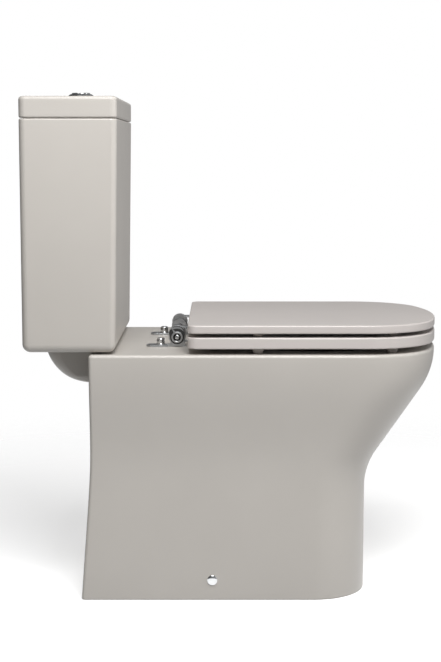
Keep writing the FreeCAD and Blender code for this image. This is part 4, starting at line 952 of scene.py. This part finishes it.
def make_lid_strap(side, name):
    """The strap that carries the lid: an outer ear with a boss, an arch over the pin and a tongue."""
    ear = plate("ear", bell(0), *outward(side, EAR_NEAR, EAR_FAR), 0.7)
    recess = plate("recess", bell(1.9), *outward(side, EAR_FAR - 0.7, EAR_FAR + 1), 0)
    combine(ear, "DIFFERENCE", recess)
    crescent = arc_points(PIVOT_DEPTH, ARCH_HEIGHT, ARCH_RADIUS, 46, 180, 24)
    crescent += arc_points(PIVOT_DEPTH, PIVOT_HEIGHT, ARCH_INSIDE, 155, 58.3, 20)
    arch = plate("arch", crescent, *outward(side, -EAR_FAR, EAR_FAR - 0.4), 0.5)
    middle = side * HINGE_ACROSS
    underside = LID_LOW.z - STRAP_THICKNESS
    flat = level_plate("flat", tongue(22, 90, 8, 6, 2, middle), underside, LID_LOW.z - 0.02, 0.5)
    near, far = 0.5, 1.6
    start, end = EAR_FAR - 1.2, EAR_FAR + 1.6
    profile = [(9.2, start), (9.2, end - near), (9.0, end - 0.2), (8.6, end), (6.8, end)]
    profile += [(6.4, end - 0.3), (WELL_RADIUS, end - far), (WELL_RADIUS, start)]
    ring = []
    for angle in np.linspace(0, 2 * math.pi, 56, endpoint=False):
        ring.append(
            [
                (
                    side * (HINGE_ACROSS + reach),
                    PIVOT_DEPTH + radius * math.cos(angle),
                    PIVOT_HEIGHT + radius * math.sin(angle),
                )
                for radius, reach in profile
            ]
        )
    boss = torus_loft("boss", ring)
    combine(ear, "UNION", arch, flat, boss)
    well_ends = outward(side, EAR_NEAR + 2.0, EAR_FAR + 3)
    pin_ends = outward(side, EAR_NEAR - 2, EAR_FAR + 3)
    well = turned_across("well", [(WELL_RADIUS, end) for end in well_ends], PIVOT_DEPTH, PIVOT_HEIGHT)
    bore = turned_across("bore", [(3.1, pin_ends[0]), (3.1, pin_ends[1])], PIVOT_DEPTH, PIVOT_HEIGHT)
    combine(ear, "DIFFERENCE", well, bore)
    for depth in (34, 60):
        combine(ear, "DIFFERENCE", hole(middle, depth, 2.1, LID_LOW.z - 5, LID_LOW.z + 1))
    ear.name = f"lid_hinge_strap_{name}"
    shade(ear, 30)
    dress(ear, SATIN_CHROME, "chrome", "lid", f"lid_strap_{name}")
    # the black on the faces deep in the pin's well is painted shade
    paint_well_shade(ear)


def make_ring_strap(side, name):
    """The strap that carries the ring: an inner ear and a tongue under the ring."""
    disc = arc_points(PIVOT_DEPTH, PIVOT_HEIGHT, EAR_RADIUS, 0, 360, 57)[:-1]
    ear = plate("ear", disc, *outward(side, -EAR_FAR, -EAR_NEAR), 0.7)
    low = RING_LOW.z - STRAP_THICKNESS
    flat_front = [(74, low), (95, low), (95, RING_LOW.z - 0.05), (74, RING_LOW.z - 0.05)]
    web = plate("web", flat_front, *outward(side, -EAR_FAR, -EAR_NEAR), 0.3)
    middle = side * HINGE_ACROSS
    flat = level_plate("flat", tongue(22, 77, 8, 6, 2, middle), low, RING_LOW.z - 0.02, 0.5)
    combine(ear, "UNION", web, flat)
    ends = outward(side, -EAR_FAR - 2, -EAR_NEAR + 2)
    bore = turned_across("bore", [(3.1, ends[0]), (3.1, ends[1])], PIVOT_DEPTH, PIVOT_HEIGHT)
    combine(ear, "DIFFERENCE", bore)
    for depth in (34, 60):
        combine(ear, "DIFFERENCE", hole(middle, depth, 2.1, low - 2, RING_LOW.z + 1))
    ear.name = f"ring_hinge_strap_{name}"
    shade(ear, 30)
    dress(ear, SATIN_CHROME, "chrome", "ring", f"ring_strap_{name}")


def make_hinge_pins():
    """The shoulder screws: a plain shank, a collar inside and a cross-slotted pan head outside."""
    pins = None
    for side in (-1, 1):
        profile = [(4.9, -13.6), (5.4, -13.1), (5.4, -11.2), (4.9, -10.8), (2.95, -10.8), (2.95, 6.6)]
        profile += [(4.3, 6.7), (4.3, 9.2), (4.0, 10.2), (3.2, 10.9), (1.6, 11.3)]
        ordered = [(radius, side * (HINGE_ACROSS + reach)) for radius, reach in profile]
        pin = turned_across("pin", ordered if side > 0 else ordered[::-1], PIVOT_DEPTH, PIVOT_HEIGHT)
        left, right = outward(side, 9.7, 12)
        for wide, tall in ((2.9, 0.55), (0.55, 2.9)):
            cross = [
                (PIVOT_DEPTH - wide, PIVOT_HEIGHT - tall),
                (PIVOT_DEPTH + wide, PIVOT_HEIGHT - tall),
                (PIVOT_DEPTH + wide, PIVOT_HEIGHT + tall),
                (PIVOT_DEPTH - wide, PIVOT_HEIGHT + tall),
            ]
            combine(pin, "DIFFERENCE", plate("cross", cross, left, right, 0))
        pins = pin if pins is None else combine(pins, "UNION", pin)
    pins.name = "hinge_pin_screws"
    shade(pins, 30)
    dress(pins, CHROME, "chrome", "toilet", "hinge_pins")


def make_hinge_bolts():
    """Chrome cap heads on threaded shanks that go down through the deck."""
    bolts = None
    for side in (-1, 1):
        foot = DECK + FOOT_THICKNESS
        profile = [(2.6, foot - 4), (2.6, foot), (6.9, foot + 0.05), (7.0, foot + 0.3), (7.0, foot + 1.6)]
        profile += [(6.8, foot + 1.9), (6.3, foot + 2.0)]
        profile += dome(6.6, foot + 2.3, foot + 11.0, 2.6)
        profile += [(2.0, foot + 11.0)]
        head = turned("head", profile, side * HINGE_ACROSS, BOLT_DEPTH, 48)
        shank = threaded("shank", 3.0, 346.0, foot - 2, side * HINGE_ACROSS, BOLT_DEPTH, 1.25, 0.35, 20)
        combine(head, "UNION", shank)
        bolts = head if bolts is None else combine(bolts, "UNION", head)
    bolts.name = "hinge_cap_bolts"
    shade(bolts, 30)
    dress(bolts, CHROME, "chrome", "toilet", "hinge_bolts")


# ---------------------------------------------------------------------------- buffers, button, caps


def make_buffers(name, top, bottom, body, node):
    """Four soft pads under the lid or the ring: wide where they are fixed, narrow where they rest."""
    pads = None
    for side in (-1, 1):
        for across, depth in ((151, -249), (165, -35)):
            rows = []
            for share, shrink in ((0, 0), (0.25, 0.02), (0.75, 0.5), (0.93, 0.62), (1, 0.8)):
                long, wide = 9.9 - 4.4 * shrink, 5.9 - 2.0 * shrink
                outline = rounded_rectangle(wide, depth - long, depth + long, min(wide, long) - 0.6, 6)
                rows.append([(side * across + x, y, top + share * (bottom - top)) for x, y in outline])
            pad = loft("pad", rows)
            pads = pad if pads is None else combine(pads, "UNION", pad)
    pads.name = name
    shade(pads, 40)
    dress(pads, BUFFER, "buffer_plastic", body, node)


BUTTON_RADIUS, BUTTON_TOP, BUTTON_SPLIT = 15.2, 813.6, 259.0


def half_moon(front_half, inset):
    """The outline of one half of the button."""
    radius = BUTTON_RADIUS - inset
    gap = 0.5 + inset
    chord = BUTTON_SPLIT - VALVE_DEPTH - gap if front_half else BUTTON_SPLIT - VALVE_DEPTH + gap
    turn = math.degrees(math.asin(chord / radius))
    first, last = (180 - turn, 360 + turn) if front_half else (turn, 180 - turn)
    arc = arc_points(0, VALVE_DEPTH, radius, first, last, 40)
    ends = np.linspace(arc[-1][0], arc[0][0], 12)[1:-1]
    return arc + [(x, VALVE_DEPTH + chord) for x in ends]


def make_button(front_half, name, body, node):
    """One half of the flush button, its top tilted down beside the split."""
    bottom = 799.0
    rows = [at_height(half_moon(front_half, 0.6), bottom), at_height(half_moon(front_half, 0), bottom + 0.6)]
    rows.append(at_height(half_moon(front_half, 0), BUTTON_TOP - 2.4))

    def drop(place):
        beside = max(0.0, 1 - abs(place[1] - BUTTON_SPLIT) / (6.5 if front_half else 3.0))
        return 1.3 * beside**1.5

    for rise, inset in edge_rounding(0.9, 5)[::-1]:
        outline = half_moon(front_half, inset)
        rows.append([(x, y, BUTTON_TOP - rise - drop((x, y))) for x, y in outline])
    rim = half_moon(front_half, 0.9)
    centre = Vector((0, sum(y for _, y in rim) / len(rim)))
    for share in (0.85, 0.65, 0.4, 0.15):
        ring = [centre + share * (Vector(point) - centre) for point in rim]
        rows.append([(x, y, BUTTON_TOP - drop((x, y))) for x, y in ring])
    piece = loft(name, rows)
    shade(piece, 40)
    dress(piece, CHROME, "chrome", body, node)


def make_bezel():
    """The button's collar: a threaded sleeve through the lid and a dished chrome crown over it."""
    top = COVER_HIGH.z
    outer = [(22.3, 772.0), (22.3, top + 0.05), (24.6, top + 0.05), (25.0, top + 0.4), (24.9, top + 1.0)]
    crown = [(25 - 9.0 * t, top + 1.0 + 8.4 * math.sin(t * math.pi / 2)) for t in np.linspace(0.15, 1, 12)]
    inner = [(15.9, 811.6), (15.65, 811.0), (15.6, 809.0), (15.6, 800.0), (19.4, 796.0), (19.4, 772.0)]
    ring = turned_ring("button_collar", outer + crown + inner, 0.0, VALVE_DEPTH, 96)
    shade(ring, 35)
    dress(ring, CHROME, "chrome", "cistern_cover", "button_bezel")


def make_caps():
    """The two domed chrome caps over the side fixings."""
    caps = None
    for side in (-1, 1):
        surface = half_width(SIDE_FIXING_HEIGHT) + 0.15
        profile = [(5.4, surface - 4.5), (5.4, surface), (8.2, surface)]
        profile += [(8.35, surface + 0.3), (8.3, surface + 1.0)]
        for turn in np.radians(np.linspace(10, 84, 8)):
            profile.append((8.3 * math.cos(turn), surface + 1.0 + 2.0 * math.sin(turn)))
        ordered = [(radius, side * reach) for radius, reach in profile]
        ordered = ordered if side > 0 else ordered[::-1]
        cap = turned_across("cap", ordered, SIDE_FIXING_DEPTH, SIDE_FIXING_HEIGHT)
        caps = cap if caps is None else combine(caps, "UNION", cap)
    caps.name = "side_fixing_caps"
    shade(caps, 35)
    dress(caps, CHROME, "chrome", "toilet", "fixing_caps")


# -------------------------------------------------------------------------------- remaining CAD nodes


def rounded_node(node, width=0.5):
    """A piece with a CAD node's form, its sharp edges rounded."""
    entry = next(part for part in frame["record"]["subparts"] if part["node"] == node)
    mesh = frame["nodes"][node].data.copy()
    mesh.name = node + "_eased"
    piece = bpy.data.objects.new(node + "_eased", mesh)
    bpy.context.scene.collection.objects.link(piece)
    edit = bmesh.new()
    edit.from_mesh(mesh)
    bmesh.ops.remove_doubles(edit, verts=edit.verts, dist=0.00001)
    bmesh.ops.dissolve_limit(edit, angle_limit=math.radians(1.0), verts=edit.verts, edges=edit.edges)
    edit.to_mesh(mesh)
    edit.free()
    soften(piece, width, 2, 40)
    shade(piece, 35)
    dress(piece, SLOT_MATERIALS[entry["material_slot"]], entry["material_slot"], body_of(node), node)
    return piece


def body_of(node):
    """The name of the body that a CAD node rides on."""
    bodies = frame["record"]["behaviour"]["bodies"]
    return next(body for body, names in bodies.items() if node in names)


def cut_thread(piece, radius, bottom, top, across, depth, pitch, groove):
    """Cuts a screw thread into the round lower end of a piece that stands on the thread's axis."""
    high = piece_span(piece)[1]
    keep = box_form("keep", 200.0, depth - 60, depth + 60, top, high + 5, 4)
    combine(keep, "UNION", threaded("thread", radius, bottom, top + pitch, across, depth, pitch, groove, 40))
    return combine(piece, "INTERSECT", keep)


def piece_span(piece):
    """The lowest and highest level of a piece."""
    levels = [vertex.co.z / MM for vertex in piece.data.vertices]
    return min(levels), max(levels)


def make_valves():
    """The fill valve and the flush valve inside the cistern, their tails threaded under the floor."""
    body = rounded_node("fill_valve_body", 0.8)
    cut_thread(body, 10.45, 360.0, 405.8, FILL_ACROSS, FILL_DEPTH, 1.81, 0.9)
    base = rounded_node("flush_valve_base", 0.6)
    cut_thread(base, 29.95, 372.0, 427.8, 0.0, VALVE_DEPTH, 3.0, 0.9)
    for node, width in EASED_NODES:
        rounded_node(node, width)


FILL_ACROSS, FILL_DEPTH = 146.0, 285.0
EASED_NODES = [
    ("flush_valve_tower", 0.8),
    ("overflow_tube", 0.5),
    ("flush_valve_seal", 0.8),
    ("flush_valve_gasket", 0.6),
    ("cistern_base_washer", 0.8),
    ("doughnut_washer", 1.6),
    ("fill_valve_float", 1.6),
    ("fill_valve_gasket", 0.6),
    ("fill_valve_washer", 0.6),
    ("full_push_rod", 0.5),
    ("half_push_rod", 0.5),
    ("floor_brackets", 1.2),
    ("hinge_washers", 1.0),
    ("coupling_washers", 1.0),
    ("coupling_plate", 0.5),
    ("lid_strap_screws", 0.3),
    ("ring_strap_screws", 0.3),
]


def knurled(name, outer, inner, bottom, top, across, depth, ribs=16, rise=1.2, edge=1.0):
    """A plastic nut with grip ribs round it and a plain bore."""
    rings = []
    steps = ribs * 6
    for step in range(steps):
        angle = 2 * math.pi * step / steps
        grip = outer - rise * (0.5 - 0.5 * math.cos(ribs * angle)) ** 2
        c, s = math.cos(angle), math.sin(angle)
        profile = [(inner, bottom), (grip - edge, bottom), (grip, bottom + edge)]
        profile += [(grip, top - edge), (grip - edge, top), (inner, top)]
        rings.append([(across + radius * c, depth + radius * s, height) for radius, height in profile])
    return torus_loft(name, rings)


def make_backnuts():
    """The ribbed plastic nuts on the two valve tails and on the button's sleeve."""
    nuts = [
        ("flush_valve_backnut", 38.0, 30.0, 0.0, VALVE_DEPTH, 24, 1.6),
        ("fill_valve_backnut", 17.0, 10.6, FILL_ACROSS, FILL_DEPTH, 12, 1.2),
        ("button_locknut", 31.0, 22.6, 0.0, VALVE_DEPTH, 20, 1.4),
    ]
    for node, outer, inner, across, depth, ribs, rise in nuts:
        low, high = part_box(node)
        piece = knurled(node + "_ribbed", outer, inner, low.z / MM, high.z / MM, across, depth, ribs, rise)
        shade(piece, 35)
        dress(piece, GREY_PLASTIC, "grey_plastic", body_of(node), node)


def make_wing_nuts(node, across, depth):
    """Two wing nuts: a tapered hub with a pair of rounded ears."""
    low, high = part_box(node)
    bottom, top = low.z / MM, high.z / MM
    entry = next(part for part in frame["record"]["subparts"] if part["node"] == node)
    nuts = None
    for side in (-1, 1):
        middle = side * across
        profile = [(3.2, bottom), (5.6, bottom), (6.4, bottom + 0.8), (7.8, top - 2.0), (8.0, top - 0.6)]
        nut = turned("hub", profile + [(7.4, top), (3.2, top)], middle, depth, 40)
        for sign in (-1, 1):
            ear = arc_points(sign * 12.6, top - 6.2, 4.3, 0, 360, 29)[:-1]
            blade = loft("ear", [[(middle + x, depth + reach, z) for x, z in ear] for reach in (-1.5, 1.5)])
            web = [(4.0, top - 8.6), (12.6, top - 9.0), (12.6, top - 3.4), (4.0, top - 1.4)]
            bridge = loft("web", [[(middle + sign * x, depth + y, z) for x, z in web] for y in (-1.4, 1.4)])
            combine(nut, "UNION", soften(blade, 0.7, 2, 50), bridge)
        nuts = nut if nuts is None else combine(nuts, "UNION", nut)
    nuts.name = node + "_cast"
    shade(nuts, 35)
    dress(nuts, SLOT_MATERIALS[entry["material_slot"]], entry["material_slot"], "toilet", node)


def make_coupling_bolts():
    """The two threaded bolts that pull the cistern down on to the pan."""
    low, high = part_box("coupling_bolts")
    bottom, top = low.z / MM, high.z / MM
    bolts = None
    for side in (-1, 1):
        middle = side * COUPLING_ACROSS
        shank = threaded("shank", 4.0, bottom, top - 3, middle, VALVE_DEPTH, 1.25, 0.4, 24)
        profile = [(6.0, top - 3.5), (6.5, top - 3.2), (6.5, top - 0.6), (5.9, top)]
        head = turned("head", profile, middle, VALVE_DEPTH, 6)
        combine(shank, "UNION", head)
        bolts = shank if bolts is None else combine(bolts, "UNION", shank)
    bolts.name = "threaded_coupling_bolts"
    shade(bolts, 30)
    dress(bolts, STEEL, "steel", "toilet", "coupling_bolts")


def make_side_screws():
    """The pointed wood screws that hold the skirt to its floor brackets."""
    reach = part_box("side_screws")[1].x / MM
    screws = None
    for side in (-1, 1):
        profile = [(1.6, 148.0), (2.45, 150.0), (2.45, reach - 4.5)]
        profile += [(4.9, reach - 2.2), (5.0, reach - 0.5), (4.6, reach)]
        ordered = [(radius, side * along) for radius, along in profile]
        ordered = ordered if side > 0 else ordered[::-1]
        screw = turned_across("screw", ordered, SIDE_FIXING_DEPTH, SIDE_FIXING_HEIGHT, 24)
        screws = screw if screws is None else combine(screws, "UNION", screw)
    screws.name = "skirt_screws"
    shade(screws, 35)
    dress(screws, STEEL, "steel", "toilet", "side_screws")


# ------------------------------------------------------------------------------------ stage, camera


def make_stage():
    """A pale floor that fades into a white studio, and soft lights on the camera's side."""
    mesh = bpy.data.meshes.new("studio_floor")
    reach = 12.0
    corners = [(-reach, -reach, 0), (reach, -reach, 0), (reach, reach, 0), (-reach, reach, 0)]
    mesh.from_pydata(corners, [], [(0, 1, 2, 3)])
    plane = bpy.data.objects.new("studio_floor", mesh)
    bpy.context.scene.collection.objects.link(plane)
    plane.visible_diffuse = False
    material, nodes, links, shader = node_material("floor_paint")
    shader.inputs["Base Color"].default_value = (0.88, 0.88, 0.88, 1)
    shader.inputs["Roughness"].default_value = 0.9
    shader.inputs["Emission Color"].default_value = (1, 1, 1, 1)
    shader.inputs["Emission Strength"].default_value = FLOOR_GLOW
    place = nodes.new("ShaderNodeTexCoord")
    length = nodes.new("ShaderNodeVectorMath")
    length.operation = "LENGTH"
    links.new(place.outputs["Object"], length.inputs[0])
    fade = nodes.new("ShaderNodeMapRange")
    fade.interpolation_type = "SMOOTHSTEP"
    fade.inputs["From Min"].default_value = 0.6
    fade.inputs["From Max"].default_value = 1.6
    links.new(length.outputs["Value"], fade.inputs["Value"])
    clear = nodes.new("ShaderNodeBsdfTransparent")
    blend = nodes.new("ShaderNodeMixShader")
    links.new(fade.outputs["Result"], blend.inputs["Fac"])
    links.new(shader.outputs["BSDF"], blend.inputs[1])
    links.new(clear.outputs["BSDF"], blend.inputs[2])
    links.new(blend.outputs["Shader"], nodes["Material Output"].inputs["Surface"])
    mesh.materials.append(material)
    make_studio()


def make_studio():
    """White behind the object, and a soft grey light from all round it, strongest from the front."""
    world = bpy.data.worlds.new("studio")
    bpy.context.scene.world = world
    world.use_nodes = True
    nodes, links = world.node_tree.nodes, world.node_tree.links
    around = nodes["Background"]
    place = nodes.new("ShaderNodeTexCoord")
    split = nodes.new("ShaderNodeSeparateXYZ")
    links.new(place.outputs["Generated"], split.inputs["Vector"])
    strengths = []
    for axis, low, high in WORLD_RAMPS:
        ramp = nodes.new("ShaderNodeMapRange")
        ramp.inputs["From Min"].default_value = -0.6
        ramp.inputs["From Max"].default_value = 0.6
        ramp.inputs["To Min"].default_value = low
        ramp.inputs["To Max"].default_value = high
        links.new(split.outputs[axis], ramp.inputs["Value"])
        strengths.append(ramp.outputs["Result"])
    total = nodes.new("ShaderNodeMath")
    total.operation = "ADD"
    links.new(strengths[0], total.inputs[0])
    links.new(strengths[1], total.inputs[1])
    links.new(total.outputs["Value"], around.inputs["Strength"])
    around.inputs["Color"].default_value = (1, 1, 1, 1)
    behind = nodes.new("ShaderNodeBackground")
    behind.inputs["Strength"].default_value = 1.0
    behind.inputs["Color"].default_value = (1, 1, 1, 1)
    rays = nodes.new("ShaderNodeLightPath")
    blend = nodes.new("ShaderNodeMixShader")
    links.new(rays.outputs["Is Camera Ray"], blend.inputs["Fac"])
    links.new(around.outputs["Background"], blend.inputs[1])
    links.new(behind.outputs["Background"], blend.inputs[2])
    links.new(blend.outputs["Shader"], nodes["World Output"].inputs["Surface"])

    def soft_box(name, place, target, size, power):
        light = bpy.data.lights.new(name, "AREA")
        light.shape = "RECTANGLE"
        light.size, light.size_y = size
        light.energy = power
        lamp = bpy.data.objects.new(name, light)
        lamp.location = place
        lamp.rotation_mode = "QUATERNION"
        lamp.rotation_quaternion = (Vector(target) - Vector(place)).to_track_quat("-Z", "Y")
        lamp.visible_camera = False
        bpy.context.scene.collection.objects.link(lamp)

    for name, place, target, size, power in LIGHTS:
        soft_box(name, place, target, size, power)


FLOOR_GLOW = 0.55
WORLD_RAMPS = [("Z", 0.25, 0.05), ("Y", 0.25, 0.0)]
LIGHTS = [
    ("key", (-1.3, -0.15, 2.0), (0, 0.1, 0.5), (1.1, 1.1), 45.5),
    ("overhead", (-0.5, 0.0, 2.3), (0, 0, 0.4), (1.5, 1.5), 1.0),
    ("front_strip", (-0.47, -1.7, 0.85), (-0.1, -0.2, 0.42), (0.24, 1.0), 3.0),
]


def make_camera():
    """Looks at the toilet's left side from a little above, the front to the right."""
    camera = bpy.data.cameras.new("camera")
    camera.lens = 78.45
    camera.sensor_width = 36.0
    eye = bpy.data.objects.new("camera", camera)
    pitch = math.radians(7.153)
    eye.location = (-2.4263, 0.0244, 0.7198)
    eye.rotation_mode = "QUATERNION"
    eye.rotation_quaternion = Vector((math.cos(pitch), 0, -math.sin(pitch))).to_track_quat("-Z", "Y")
    bpy.context.scene.collection.objects.link(eye)
    bpy.context.scene.camera = eye
    bpy.context.scene.view_settings.view_transform = "Standard"


dress_cad_nodes()
make_pan()
make_cistern()
make_cistern_lid()
make_seat_lid()
make_seat_ring()
for side, name in ((-1, "left"), (1, "right")):
    make_hinge_base(side, name)
    make_lid_strap(side, name)
    make_ring_strap(side, name)
make_hinge_pins()
make_hinge_bolts()
make_buffers("lid_pads", LID_LOW.z, RING_HIGH.z + 0.35, "lid", "lid_buffers")
make_buffers("ring_pads", RING_LOW.z, RIM_TOP + 0.35, "ring", "ring_buffers")
make_bezel()
make_button(True, "full_flush_cap", "full_push", "full_flush_button")
make_button(False, "half_flush_cap", "half_push", "half_flush_button")
make_caps()
make_valves()
make_backnuts()
make_wing_nuts("coupling_wing_nuts", COUPLING_ACROSS, VALVE_DEPTH)
make_wing_nuts("hinge_wing_nuts", HINGE_ACROSS, BOLT_DEPTH)
make_coupling_bolts()
make_side_screws()
make_stage()
make_camera()
